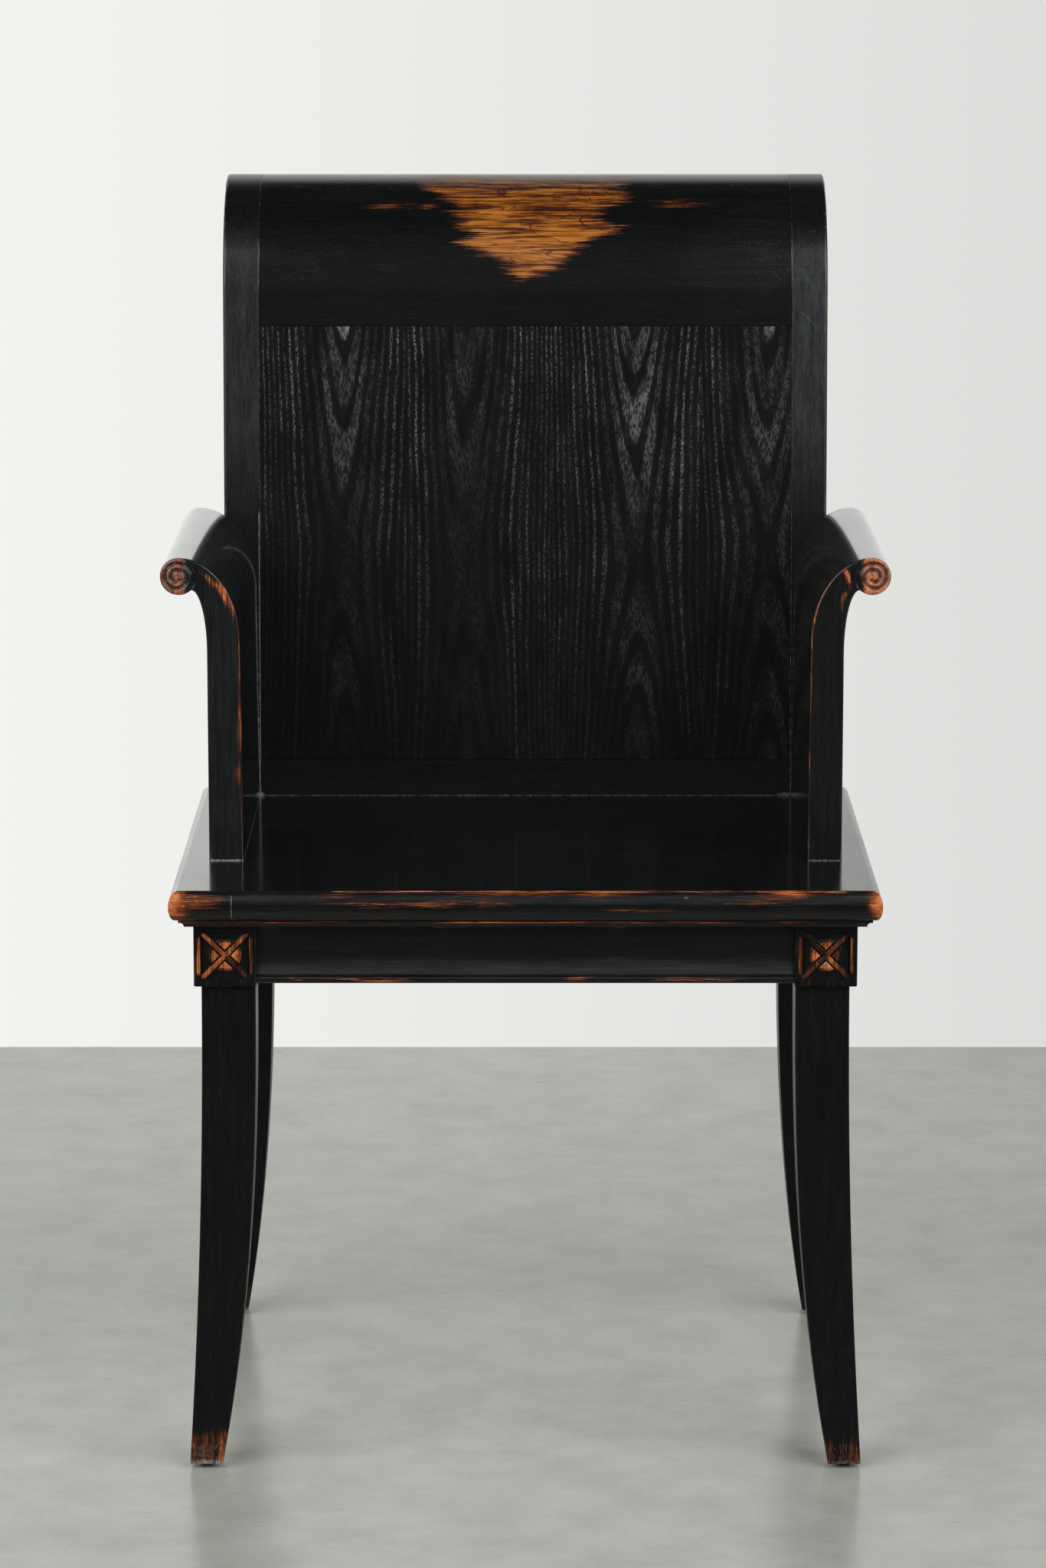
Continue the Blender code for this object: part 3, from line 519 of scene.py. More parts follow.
seat = dict(  # a moulded frame with the panel flush in it under one lacquer
    half=0.300, depth=0.480, top=0.508, thick=0.032, rail=0.070, panelThick=0.018,
    noseDrop=0.0137, noseUpper=0.0074, noseLower=0.0066, noseLowerDrop=0.0252, noseFlat=1.06,
    stepIn=0.0079, stepDrop=0.0278, coveIn=0.0125, corner=0.0024,
    crack=-0.2487, crackSpots=(0.4918, 0.4886, 0.4832), crackTurn=0.4945, crackLine=0.84,
    crackFill=(0.68, 0.60), crackSpot=0.0013, haze=(0.40, 0.5015, 0.005),
    arrisIn=0.0012, arrisDrop=0.0004, wax=(0.65, 0.9),
    even=(0.35, 0.5), cornerFrom=0.262, cornerFade=0.03,  # smooth wear at the corners
    topEdge=((-0.157, -0.02, 0.95), (-0.02, 0.10, 1.05), (0.10, 0.19, 0.82), (0.19, 0.27, 1.0)),
    lowEdge=((-0.292, 0.165, 0.82), (0.165, 0.292, 0.62)), topReach=0.0030, lowReach=0.0026,
    sideRun=(0.01, 0.45), sideEdge=(0.45, 0.0022),  # strength and reach, as for the dust
    dustBack=(0.68, 0.0020), dustInside=((0.66, 0.0019), (0.44, 0.0019)), dustFront=(0.85, 0.0020),
    dustOutside=(0.6, 0.0015))
jointStops = (-0.0018, -0.0009, 0.0, 0.0009, 0.0018)  # closer mesh beside a joint
crackStops = (-0.0012, -0.0006, 0, 0.0006, 0.0012)  # and beside the crack
underside = seat["top"] - seat["thick"]

arm = dict(  # boards that flare out into a scroll with a carved spiral
    front=0.1325, inset=0.0273, thick=0.0297, rise=0.2633, spread=0.0015, spring=0.1915,
    scroll=0.0159, over=0.0396, underSpring=0.1820, neck=0.0277, ease=0.0016, sink=0.0018,
    eyeOut=0.0012, eyeDrop=0.0007, spiralFirst=0.01415, spiralPitch=0.0056, spiralTurns=2.05, spiralStart=222,
    grooveHalf=0.00165, grooveDeep=0.0019, edgeReach=0.0027, outerEdge=0.46, footEdge=0.2, footTall=0.012,
    sideDust=(0.75, 0.0016), footReach=0.0026, film=0.46, filmFrom=-0.007, even=0.50, evenScroll=0.85,
    rows=(0.0009, 0.0019, 0.0032, 0.0050, 0.0072, 0.0098, 0.0128), grid=0.00056, gridOver=0.0015,
    frontSkin=0.003, waxFrom=0.002, waxFade=0.004)  # how far back the front's own finish reaches
armOuter = seat["half"] - arm["inset"]
armInner = armOuter - arm["thick"]
armTop = seat["top"] + arm["rise"]
scrollX = armOuter + arm["over"] - arm["scroll"]
scrollZ = armTop - arm["scroll"]

back = dict(  # stiles and crest share one rolled section; rails and grained panel stand between them
    set=0.0503, recline=4.3, inset=0.0254, thick=0.0270, stile=0.0322, rollRise=0.4600,
    rollRadius=0.1055, rollScroll=0.0190, topRail=0.0320, bottomRail=0.0325,
    panelThick=0.0120, panelSink=0.0005, ease=0.0004, outerEase=0.0024, sink=0.0002,
    spiralFirst=0.0137, spiralPitch=0.0052, spiralTurns=1.75, spiralStart=215,
    grooveHalf=0.0013, grooveDeep=0.0016, footDust=(0.60, 0.0024),
    rows=(0.0012, 0.0028, 0.0055, 0.0095), gridReach=0.0175, grid=0.0007)
tilt = math.radians(back["recline"])
lean = math.tan(tilt)
backFront = seat["depth"] - back["set"]
backHalf = seat["half"] - back["inset"]
stileIn = backHalf - back["stile"]
rollStart = seat["top"] + back["rollRise"]
rollY = backFront + back["rollRise"] * lean + back["rollRadius"] * math.cos(tilt)
rollZ = rollStart - back["rollRadius"] * math.sin(tilt)
rollEye = rollZ + back["rollRadius"] - back["rollScroll"]


def backFace(z, deep=0.0):
    return backFront + (z - seat["top"]) * lean + deep


def fromFront(y, rear):  # depth of a place on the front, or of its mirror image on the rear
    return seat["depth"] - y if rear else y


def cornerDust(points):  # dirt gathered where the back meets arms and seat
    z = seat["top"] + 0.001
    return softSpots(points, [((-stileIn, backFront, z), (0.0045, 0.008, 0.0030), 0.80),
                              ((stileIn - 0.004, backFront, z), (0.012, 0.006, 0.0026), 0.60)])


def seatJointDust(points):  # pale dirt along the joints of arms and back on the seat
    top, front = seat["top"], arm["front"]
    lines = [acrossLine(-stileIn, stileIn, backFront, top, *seat["dustBack"])]
    for (_, side), inside in zip(sides, seat["dustInside"]):
        lines += [deepLine(side * armInner, front, backFront, top, *inside),
                  acrossLine(side * armInner, side * armOuter, front, top, *seat["dustFront"]),
                  deepLine(side * armOuter, front, backFront, top, *seat["dustOutside"])]
    return np.maximum(alongLines(points, lines), cornerDust(points))


def seatPolish(points):  # the top is waxed, most on the left
    most, slope = seat["wax"]
    return [clamp((z - seat["top"] + 0.003) / 0.002) * (most - slope * x) for x, y, z in points]


seatWear = (  # rubbed places on the moulded edge: centre, half sizes, strength
    ((-0.2990, 0.002, 0.498), (0.017, 0.03, 0.020), 1.00),
    ((-0.274, 0.0, 0.500), (0.026, 0.012, 0.009), 0.70),
    ((0.3000, 0.002, 0.498), (0.012, 0.03, 0.017), 1.05),
    ((0.285, 0.0, 0.505), (0.020, 0.012, 0.003), 0.46),
    ((-0.092, 0.001, 0.4985), (0.110, 0.006, 0.0042), 0.54),
    ((0.010, 0.005, 0.506), (0.095, 0.006, 0.0030), 0.66),
    ((-0.160, 0.004, 0.5035), (0.022, 0.006, 0.0025), 0.52),
    ((0.221, 0.003, 0.5045), (0.030, 0.006, 0.0035), 0.68),
    ((0.200, 0.001, 0.4990), (0.034, 0.006, 0.0028), 0.58),
    ((0.094, 0.001, 0.4925), (0.045, 0.006, 0.0016), 0.52),
    ((-0.299, 0.47, 0.497), (0.010, 0.03, 0.018), 0.70),
    ((0.299, 0.47, 0.497), (0.010, 0.03, 0.018), 0.70))
seatChip = ((0.135, 0.001, 0.5030), (0.005, 0.004, 0.0022), 0.62)


def railOutline():  # section of the moulded rails: distance in from the edge, and height
    s, top = seat, seat["top"]
    nose, fall = s["noseUpper"] * s["noseFlat"], s["noseLowerDrop"] - s["noseDrop"]
    line = [(s["noseUpper"], top)]
    line += arcRun(nose, top - s["noseDrop"], nose, s["noseDrop"], 112, 180, 14)[1:]
    line += arcRun(s["noseLower"], top - s["noseDrop"], s["noseLower"], fall, 180, 262, 12)[1:]
    line += [(s["stepIn"], top - s["noseLowerDrop"]), (s["stepIn"], top - s["stepDrop"])]
    coveWide, coveTall = s["coveIn"] - s["stepIn"], s["thick"] - s["stepDrop"]
    line += arcRun(s["stepIn"], underside, coveWide, coveTall, 90, 0, 8)[1:]
    line += [(s["rail"], underside), (s["rail"], top)]
    line = refineRun(line, 0.0010, 0.012)
    joints = (s["half"] - armOuter, s["half"] - armInner, back["set"])
    marks = {j + o for j in joints for o in jointStops}
    first = len(line) - 1
    while line[first][1] > top - 1e-6 and first > 0:
        first -= 1
    flat = sorted({d for d, z in line[first + 1:]} | marks, reverse=True)
    return line[:first + 1] + [(d, top) for d in flat if d > s["noseUpper"] + 1e-5]


def railRing(d, z, alongX, alongY):  # one loop around the seat, d in from its edge
    s, turn = seat, []
    c = max(s["corner"] - d, 0.0)
    hx, y0, y1 = s["half"] - d, d, s["depth"] - d
    wide, deep = 2 * hx - 2 * c, y1 - y0 - 2 * c
    corners = ((hx - c, y0 + c, -90), (hx - c, y1 - c, 0), (-hx + c, y1 - c, 90), (-hx + c, y0 + c, 180))
    for cx, cy, first in corners:
        turn.append([(x, y, z) for x, y in arcRun(cx, cy, c, c, first, first + 90, 6)[1:-1]])
    ring = [(-hx + c + wide * t, y0, z) for t in alongX] + turn[0]
    ring += [(hx, y0 + c + deep * t, z) for t in alongY] + turn[1]
    ring += [(hx - c - wide * t, y1, z) for t in alongX] + turn[2]
    return ring + [(-hx, y1 - c - deep * t, z) for t in alongY] + turn[3]


def seatFrame():
    s, top = seat, seat["top"]
    wide, deep = 2 * s["half"], s["depth"]
    atCrack = [s["crack"] + s["half"] + o for o in crackStops]
    atArm = [arm["front"] + o for o in jointStops[:-1]]
    alongX = [0.5 + (m - wide / 2) / wide for m in stops(0, wide, (0.0, 0.002), 0.002, 0.012, atCrack)]
    alongY = [m / deep for m in stops(0, deep, (0.0, 0.002), 0.002, 0.012, atArm)]
    rings = [railRing(d, z, alongX, alongY) for d, z in railOutline()]
    nx, ny = len(alongX), len(alongY)
    sideOf = [0] * (nx + 2) + [1] * (ny + 5) + [0] * (nx + 5) + [1] * (ny + 5)
    points = [p for ring in rings for p in ring]
    n, faces, shades = len(rings[0]), [], []
    for k in range(len(rings)):
        for i in range(n):
            a, b = k * n, ((k + 1) % len(rings)) * n
            faces.append((a + i, a + (i + 1) % n, b + (i + 1) % n, b + i))
            shades.append(sideOf[i] if i < len(sideOf) else 0)
    edge, step = s["stepIn"], top - s["stepDrop"]
    arris, rim = s["noseUpper"] - s["arrisIn"], top - s["arrisDrop"]
    lines = [acrossLine(x0, x1, arris, rim, strength, s["topReach"]) for x0, x1, strength in s["topEdge"]]
    lines += [acrossLine(x0, x1, edge, step, strength, s["lowReach"]) for x0, x1, strength in s["lowEdge"]]
    for x in (edge - s["half"], s["half"] - edge):
        lines.append(deepLine(x, *s["sideRun"], step, *s["sideEdge"]))
    wear = np.maximum(alongLines(points, lines), softSpots(points, seatWear))
    crackAt = alongX.index(min(alongX, key=lambda t: abs(t - (s["crack"] + s["half"]) / wide)))
    crack = [0.0] * len(points)
    for i, (x, y, z) in enumerate(points):  # a thin line above, filled spots below
        if i % n == crackAt and top - s["noseLowerDrop"] < z < top - 0.003:
            spot = max(0.0, 1 - min(abs(z - c) for c in s["crackSpots"]) / s["crackSpot"])
            crack[i] = s["crackLine"] if z > s["crackTurn"] else s["crackFill"][0] + s["crackFill"][1] * spot
    dust = np.maximum(np.maximum(seatJointDust(points), crack), softSpots(points, [seatChip]))
    # painted sheen: a pale grey band along the nose's upper part stands for the bluish highlight there
    sheenAmount, sheenZ, sheenHalf = s["haze"]
    haze = [sheenAmount * max(0.0, 1 - abs(z - sheenZ) / sheenHalf) for x, y, z in points]
    plain, smooth = s["even"]
    even = [plain + smooth * clamp((abs(x) - s["cornerFrom"]) / s["cornerFade"]) for x, y, z in points]
    names = ["seat_rail_" + e for e in ("front", "rear", "left", "right")]
    addPiece("seatFrame", points, faces, [seatAcross, seatDeep], names, shades, wear=wear, dust=dust,
             haze=haze, polish=seatPolish(points), even=even)


def seatPanel():
    half, near = seat["half"] - seat["rail"], seat["rail"]
    xs = stops(-half, half, (0.0,), 0.01, 0.014)
    ys = stops(near, seat["depth"] - near, (0.0,), 0.01, 0.014)
    points, faces = latticeBox(xs, ys, [seat["top"] - seat["panelThick"], seat["top"]], 0.0)
    addPiece("seatPanel", points, faces, [seatAcross], ["seat_panel"], dust=seatJointDust(points),
             polish=seatPolish(points))


seatFrame()
seatPanel()
print("seat built")


apron = dict(  # plain field, cove and a bead along the bottom
    setBack=0.0014, rise=0.0024, thick=0.020, bead=0.0068, beadRound=0.42, coveTop=0.0260, coveDepth=0.0048,
    quirk=0.0008, beadDeep=0.0018, haze=0.38, sheenAt=0.32, sheenTall=0.55,  # shares of the cove's height
    edgeDrop=0.002, topDrop=0.003, topIn=0.006, beadIn=0.006,
    edgeWear=(0.42, 0.0026), topWear=(0.42, 0.0022), sideWear=(0.44, 0.0026),  # strength and reach
    beadWear=((-0.131, 0.055, 0.0030, 0.62), (0.041, 0.011, 0.0030, 0.70), (0.157, 0.042, 0.0018, 0.54),
              (-0.199, 0.003, 0.0022, 0.62)))  # x, half length, half height, strength
leg = dict(  # a square corner block and a sabre leg below it, from one post
    blockSide=0.053, blockInset=0.0199, blockHeight=0.0536, insetOut=0.0060, insetIn=0.0012,
    bend=2.45, rearBend=2.2, rearSlim=0.0036, kickOut=0.0135, kickIn=0.0312, rearSweep=0.0360,
    footLift=0.0040, ease=0.0014, rim=0.0067, deep=0.0026, boss=0.0143, bossStep=0.0028,
    bossSink=0.0009, ringSink=0.0016, bar=0.0047, barSink=0.0003, bareFoot=(0.051, 0.043),
    footFade=0.022, rearRub=0.40, frontRub=(0.49, 0.43),  # left and right
    innerRub=0.10, innerFrom=0.8, even=0.55, evenFoot=0.80, evenBelow=0.05,
    carvedGrid=0.00058, plainGrid=0.006, ringDrop=0.0004, bossDrop=0.0005, barDrop=0.0004,
    discSoft=0.0009, barSoft=0.0006, rimSoft=0.0008, barCut=0.0004, barCutHalf=0.0003,
    arrisInner=(0.56, 0.44), arrisOuter=(0.30, 0.30), arrisReach=0.0028, arrisSteps=120,  # at top, at foot
    innerEdge=(0.50, 0.0025), outerEdge=(0.52, 0.0025), lowEdge=(0.50, 0.0022), dirtReach=0.0019)
blockOut = seat["half"] - leg["blockInset"]
blockIn = blockOut - leg["blockSide"]
blockBottom = underside - leg["blockHeight"]
apronBottom = blockBottom + apron["rise"]


def apronOutline():
    a, bottom, face = apron, apronBottom, apron["setBack"]
    bead, cove, roll = bottom + a["bead"], bottom + a["coveTop"], face + a["beadDeep"]
    field = face + a["coveDepth"] + a["quirk"]
    line = [(field, underside), (field, cove)]
    line += arcRun(face + a["quirk"], cove, a["coveDepth"], cove - bead, 0, -90, 12)[1:] + [(roll, bead)]
    line += arcRun(roll, bottom + a["bead"] / 2, a["beadDeep"], a["bead"] * a["beadRound"], 90, 270, 12)
    line += [(roll + a["quirk"], bottom), (face + a["thick"], bottom), (face + a["thick"], underside)]
    return refineRun(line, 0.0012, 0.010)


def coveSheen(skin):  # painted sheen: a grey band low in the hollow, where it faces up, stands for the light it reflects
    low, tall = apronBottom + apron["bead"], apron["coveTop"] - apron["bead"]
    at, half = tall * apron["sheenAt"], tall * apron["sheenTall"]
    return [apron["haze"] * max(0.0, 1 - abs(v - low - at) / half) for u, v, w in skin]


def aprons():
    outline, inset = apronOutline(), leg["blockInset"]
    beadZ, beadY = apronBottom + apron["bead"] / 2, inset + apron["setBack"]
    low, high = beadZ - apron["edgeDrop"], underside - apron["topDrop"]
    for end, rear in ends:
        marks = stops(0.0, 2 * blockIn, (0.0,), 0.004, 0.010)
        skin, faces = sweepSkin(outline, lambda u, v: -blockIn, lambda u, v: blockIn, marks)
        points = [(w, fromFront(inset + u, rear), v) for u, v, w in skin]
        beads = () if rear else apron["beadWear"]
        spots = [((x, beadY, beadZ), (wide, apron["beadIn"], tall), s) for x, wide, tall, s in beads]
        worn = [acrossLine(-blockIn, blockIn, fromFront(beadY, rear), low, *apron["edgeWear"]),
                acrossLine(-blockIn, blockIn, beadY + apron["topIn"], high, *apron["topWear"])]
        wear = np.maximum(softSpots(points, spots), alongLines(points, worn))
        addPiece("apron" + end.title(), points, faces, [dullAcross], ["apron_" + end], wear=wear,
                 haze=coveSheen(skin))
    start = inset + leg["blockSide"]
    stop = seat["depth"] - start
    for name, side in sides:
        marks = stops(0.0, stop - start, (0.0,), 0.004, 0.012)
        skin, faces = sweepSkin(outline, lambda u, v: start, lambda u, v: stop, marks)
        points = [(side * (blockOut - u), w, v) for u, v, w in skin]
        edge = side * (blockOut - apron["setBack"])
        worn = [deepLine(edge, start, stop, low, *apron["sideWear"])]
        addPiece("apron" + name.title(), points, faces, [dullDeep], ["apron_" + name],
                 wear=alongLines(points, worn), haze=coveSheen(skin))


def legFaces(drop, rear):  # outer and inner faces, in from the block's outer corner
    slim, sweep, bend = 0.0, 0.0, leg["bend"]
    if rear:
        slim, sweep, bend = leg["rearSlim"], leg["rearSweep"], leg["rearBend"]
    outX = leg["insetOut"] - leg["kickOut"] * drop ** 2
    inX = leg["blockSide"] - leg["insetIn"] - slim - (leg["kickIn"] - slim / 2) * drop ** leg["bend"]
    outY = leg["insetOut"] - (leg["kickOut"] + sweep) * drop ** 2
    inY = leg["blockSide"] - leg["insetIn"] - (leg["kickIn"] + sweep) * drop ** bend
    return outX, inX, outY, inY


def softEdge(gap, wide=0.0007):  # 1 inside, 0 outside, with a soft step where gap is zero
    t = clamp(0.5 - gap / wide)
    return t * t * (3 - 2 * t)


rosetteWear = {  # carved squares: rubbing of lobes, side strips and bars; lines of dirt in mm
    "left": dict(outer=0.78, inner=0.98, top=0.88, bottom=0.94, strips=(0.86, 0.60),
                 bars=((0.82, 0.84), (0.70, 0.46)),
                 dirt=((8.0, 11.3, 15.0, 18.3, 0.62), (-1.0, 4.8, 2.0, 4.2, 0.55),
                       (11.0, -7.6, 18.0, -14.6, 0.60))),
    "right": dict(outer=0.42, inner=0.80, top=0.74, bottom=0.84, strips=(0.62, 0.58),
                  bars=((0.54, 0.58), (0.42, 0.53)),
                  dirt=((0.0, -5.6, 8.2, -12.8, 0.80), (0.0, -5.6, -6.1, -12.8, 0.90),
                        (16.0, 18.2, 1.0, 3.2, 0.62), (17.5, -20.2, -13.5, -19.6, 0.56),
                        (-12.0, -13.8, -18.5, -18.8, 0.58)))}
rosetteRubbing = dict(stripIn=0.0022, stripHalf=0.0017, stripSoft=0.0022, stripLong=0.0165, stripEnd=0.006,
                      rim=0.16, rimEven=0.30, barFade=0.20, barEven=0.70, barShade=0.0010, ring=0.60,
                      lobeEven=0.75, ground=0.06)
carvedHalf, barHalf = leg["blockSide"] / 2 - leg["rim"], leg["bar"] / 2
bossEye = leg["boss"] - leg["bossStep"]


def rosetteDepth(u, v):  # carved square of the front blocks: how deep the wood lies, from its middle
    r, cross, deep = math.hypot(u, v), abs(abs(u) - abs(v)) / math.sqrt(2), leg["deep"]
    discs = ((leg["boss"], leg["ringSink"], leg["ringDrop"], 8),
             (bossEye, leg["bossSink"], leg["bossDrop"], 4))
    for radius, sink, drop, power in discs:
        deep += (sink + drop * (r / radius) ** power - deep) * softEdge(r - radius + 0.0003, leg["discSoft"])
    cut = abs(cross - barHalf - leg["barCut"]) - leg["barCutHalf"]
    deep += (leg["deep"] - deep) * softEdge(cut, leg["barSoft"])
    bar = leg["barSink"] + leg["barDrop"] * (cross / barHalf) ** 4
    deep += (bar - deep) * softEdge(cross - barHalf + 0.0002, leg["barSoft"])
    return deep * (1 - softEdge(carvedHalf - max(abs(u), abs(v)), leg["rimSoft"]))


def rosetteRub(u, v, worn):  # rubbing of the raised wood, and how even it is
    r, cross = math.hypot(u, v), abs(abs(u) - abs(v)) / math.sqrt(2)
    rub = rosetteRubbing
    if max(abs(u), abs(v)) > carvedHalf - 0.0003:
        strip = softEdge(abs(abs(u) - carvedHalf - rub["stripIn"]) - rub["stripHalf"], rub["stripSoft"])
        strip *= worn["strips"][u >= 0] * softEdge(abs(v) - rub["stripLong"], rub["stripEnd"])
        return max(strip, rub["rim"]), rub["rimEven"]
    if cross < barHalf - 0.0002:
        fade = 1 - rub["barFade"] * (r / (carvedHalf * 1.41)) ** 2
        return worn["bars"][u > 0][v < 0] * fade, rub["barEven"]
    if r < leg["boss"] - 0.0005 and cross > barHalf + rub["barShade"]:
        upright = "top" if v > 0 else "bottom"
        lobe = worn[("outer" if u < 0 else "inner") if abs(u) > abs(v) else upright]
        return lobe * (rub["ring"] if r > bossEye else 1.0), rub["lobeEven"]
    return rub["ground"], rub["lobeEven"]


footDust = (dict(left=0.72, right=0.52, top=0.0150, fade=0.010),  # a crust below, a thinner film above
            dict(left=0.42, right=0.36, top=0.036, fade=0.014))


def legPiece(end, rear, name, side):
    size, inset, ease = leg["blockSide"], leg["blockInset"], leg["ease"]
    grid = leg["plainGrid" if rear else "carvedGrid"]
    us = stops(0.0, size, edgeLead(ease), min(grid, 0.001), grid)
    vs = stops(0.0, size, edgeLead(ease), 0.001, 0.010)
    zs = stops(blockBottom, underside, edgeLead(ease), min(grid, 0.001), grid)
    block, faces = latticeBox(us, vs, zs, ease)
    middle = (blockBottom + underside) / 2
    points, wear, even = [], [], []
    for u, v, z in block:
        raised, calm = 0.0, leg["even"]
        if not rear and v < 1e-6:
            v += rosetteDepth(u - size / 2, z - middle)
            raised, calm = rosetteRub(u - size / 2, z - middle, rosetteWear[name])
        points.append((side * (blockOut - u), fromFront(inset + v, rear), z))
        wear.append(raised)
        even.append(calm)
    us = stops(0.0, size, edgeLead(ease * 1.5), 0.0012, 0.009)
    zs = stops(leg["footLift"], blockBottom + 0.0006, edgeLead(ease), 0.0015, 0.009)
    shaft, shaftFaces = latticeBox(us, us, zs, ease * 1.5)
    faces += [tuple(i + len(points) for i in f) for f in shaftFaces]
    span = blockBottom - leg["footLift"]
    for u, v, z in shaft:
        outX, inX, outY, inY = legFaces(clamp((blockBottom - z) / span), rear)
        x, y = outX + (inX - outX) * u / size, outY + (inY - outY) * v / size
        points.append((side * (blockOut - x), fromFront(inset + y, rear), z))
        rub = leg["rearRub"] if rear else leg["frontRub"][side > 0]
        rub += leg["innerRub"] if u > size * leg["innerFrom"] and not rear else 0.0
        wear.append(rub * clamp((leg["bareFoot"][side > 0] - z) / leg["footFade"]))
        even.append(leg["evenFoot"] if z < leg["evenBelow"] else leg["even"])
    arris = []
    for drop in np.linspace(0, 1, leg["arrisSteps"]):
        outX, inX, outY, inY = legFaces(drop, rear)
        y = fromFront(inset + (inY if rear else outY), rear)
        for x, (high, low) in ((inX, leg["arrisInner"]), (outX, leg["arrisOuter"])):
            strength = high + (low - high) * drop
            arris.append((side * (blockOut - x), y, blockBottom - span * drop, strength))
    inner, outer, y = side * blockIn, side * blockOut, fromFront(inset, rear)
    lines = [(arris, leg["arrisReach"]), acrossLine(inner, outer, y, blockBottom, *leg["lowEdge"])]
    for x, edge in ((inner, "innerEdge"), (outer, "outerEdge")):
        lines.append(straight((x, y, blockBottom), (x, y, underside), *leg[edge]))
    dust = [max(d[name] * clamp((d["top"] - p[2]) / d["fade"]) for d in footDust) for p in points]
    if not rear:
        dirt = []
        for u0, v0, u1, v1, strength in rosetteWear[name]["dirt"]:
            first, last = [(side * (blockOut - size / 2 - u / 1000), inset + 0.001, middle + v / 1000)
                           for u, v in ((u0, v0), (u1, v1))]
            dirt.append(straight(first, last, strength, leg["dirtReach"]))
        dust = np.maximum(dust, alongLines(points, dirt))
    addPiece("leg" + end.title() + name.title(), points, faces, [dullUp], ["leg_%s_%s" % (end, name)],
             wear=np.maximum(np.array(wear), alongLines(points, lines)), even=even, dust=dust)


aprons()
for end, rear in ends:
    for name, side in sides:
        legPiece(end, rear, name, side)
print("aprons and legs built")


def spiralDepth(u, v, eye, cut, limit):  # depth of the groove that winds in towards an eye
    r = math.hypot(u - eye[0], v - eye[1])
    if r >= limit:
        return 0.0
    turn = (math.radians(cut["spiralStart"]) - math.atan2(v - eye[1], u - eye[0])) / (2 * math.pi)
    laps = [turn - math.floor(turn) + lap for lap in range(4)]
    gap = min([abs(r - (cut["spiralFirst"] - cut["spiralPitch"] * lap))
               for lap in laps if lap <= cut["spiralTurns"]] + [1.0])
    return cut["grooveDeep"] * (0.5 + 0.5 * math.cos(math.pi * min(gap / (cut["grooveHalf"] * 1.5), 1.0)))


def armOutline():
    a, foot = arm, seat["top"] - arm["sink"]
    spring, under = seat["top"] + a["spring"], seat["top"] + a["underSpring"]
    inner = armInner + a["spread"]
    line = [(armInner, foot), (inner, spring)]
    line += arcRun(scrollX, spring, scrollX - inner, armTop - spring, 180, 90, 72)[1:]
    neckZ = armTop - a["neck"]
    neckX = scrollX - math.sqrt(a["scroll"] ** 2 - (scrollZ - neckZ) ** 2)
    last = math.degrees(math.atan2(neckZ - scrollZ, neckX - scrollX))
    line += arcRun(scrollX, scrollZ, a["scroll"], a["scroll"], 90, last, 56)[1:]
    line += arcRun(neckX, under, neckX - armOuter, neckZ - under, 90, 180, 26)[1:]
    return refineRun(line + [(armOuter, foot)], 0.0012, 0.0042)


def armRelief(u, v):
    eye = (scrollX + arm["eyeOut"], scrollZ - arm["eyeDrop"])
    return spiralDepth(u, v, eye, arm, arm["spiralFirst"] + 0.004)


armWear = {  # strokes on the front: reach, then x, z and strength; rubbing of inner edge and scroll
    "left": dict(
        strokes=((0.0080, (-0.2784, 0.7600, 0.55), (-0.2616, 0.7469, 0.85), (-0.2595, 0.7426, 0.95),
                  (-0.2510, 0.7300, 0.62), (-0.2485, 0.7150, 0.35)),
                 (0.0062, (-0.2440, 0.6560, 0.40), (-0.2440, 0.6400, 0.85), (-0.2440, 0.6150, 0.80),
                  (-0.2445, 0.5990, 0.3)),
                 (0.0072, (-0.2460, 0.5960, 0.40), (-0.2460, 0.5840, 0.85), (-0.2450, 0.5720, 0.60),
                  (-0.2440, 0.5400, 0.4))),
        edge=(0.34, 0.62, 0.70, 0.76), start=0.010, run=0.006, least=0.45, ridge=0.66, groove=0.36, rubs=(),
        footDust=0.94, haze=0.14),
    "right": dict(
        strokes=((0.0052, (0.2710, 0.7600, 0.50), (0.2735, 0.7595, 0.80), (0.2766, 0.7543, 0.72),
                  (0.2775, 0.7440, 0.5)),
                 (0.0046, (0.2755, 0.7420, 0.40), (0.2729, 0.7404, 0.78), (0.2697, 0.7340, 0.60),
                  (0.2697, 0.7255, 0.4)),
                 (0.0040, (0.2705, 0.7090, 0.30), (0.2690, 0.6990, 0.50), (0.2690, 0.6900, 0.3))),
        edge=(0.76, 0.80, 0.85, 0.95), start=0.0125, run=0.0065, least=0.34, ridge=0.92, groove=0.42,
        rubs=(((0.2560, 0.165, 0.7440), (0.006, 0.020, 0.010), 0.50),
              ((0.2640, 0.150, 0.7540), (0.006, 0.014, 0.008), 0.52)),
        footDust=0.74, haze=0.04)}
edgeHeights = (0.55, 0.60, 0.66, 0.72)  # where the inner edge's rubbing is given; it grows stronger upwards, partly standing for a painted highlight on the upper arris


def stroke(reach, *parts):  # a line on the arm's front whose strength runs between the given ones
    line = []
    for (x0, z0, s0), (x1, z1, s1) in zip(parts, parts[1:]):
        line += [(x0 + (x1 - x0) * t, arm["front"], z0 + (z1 - z0) * t, s0 + (s1 - s0) * t)
                 for t in np.linspace(0, 1, 24)]
    return line, reach


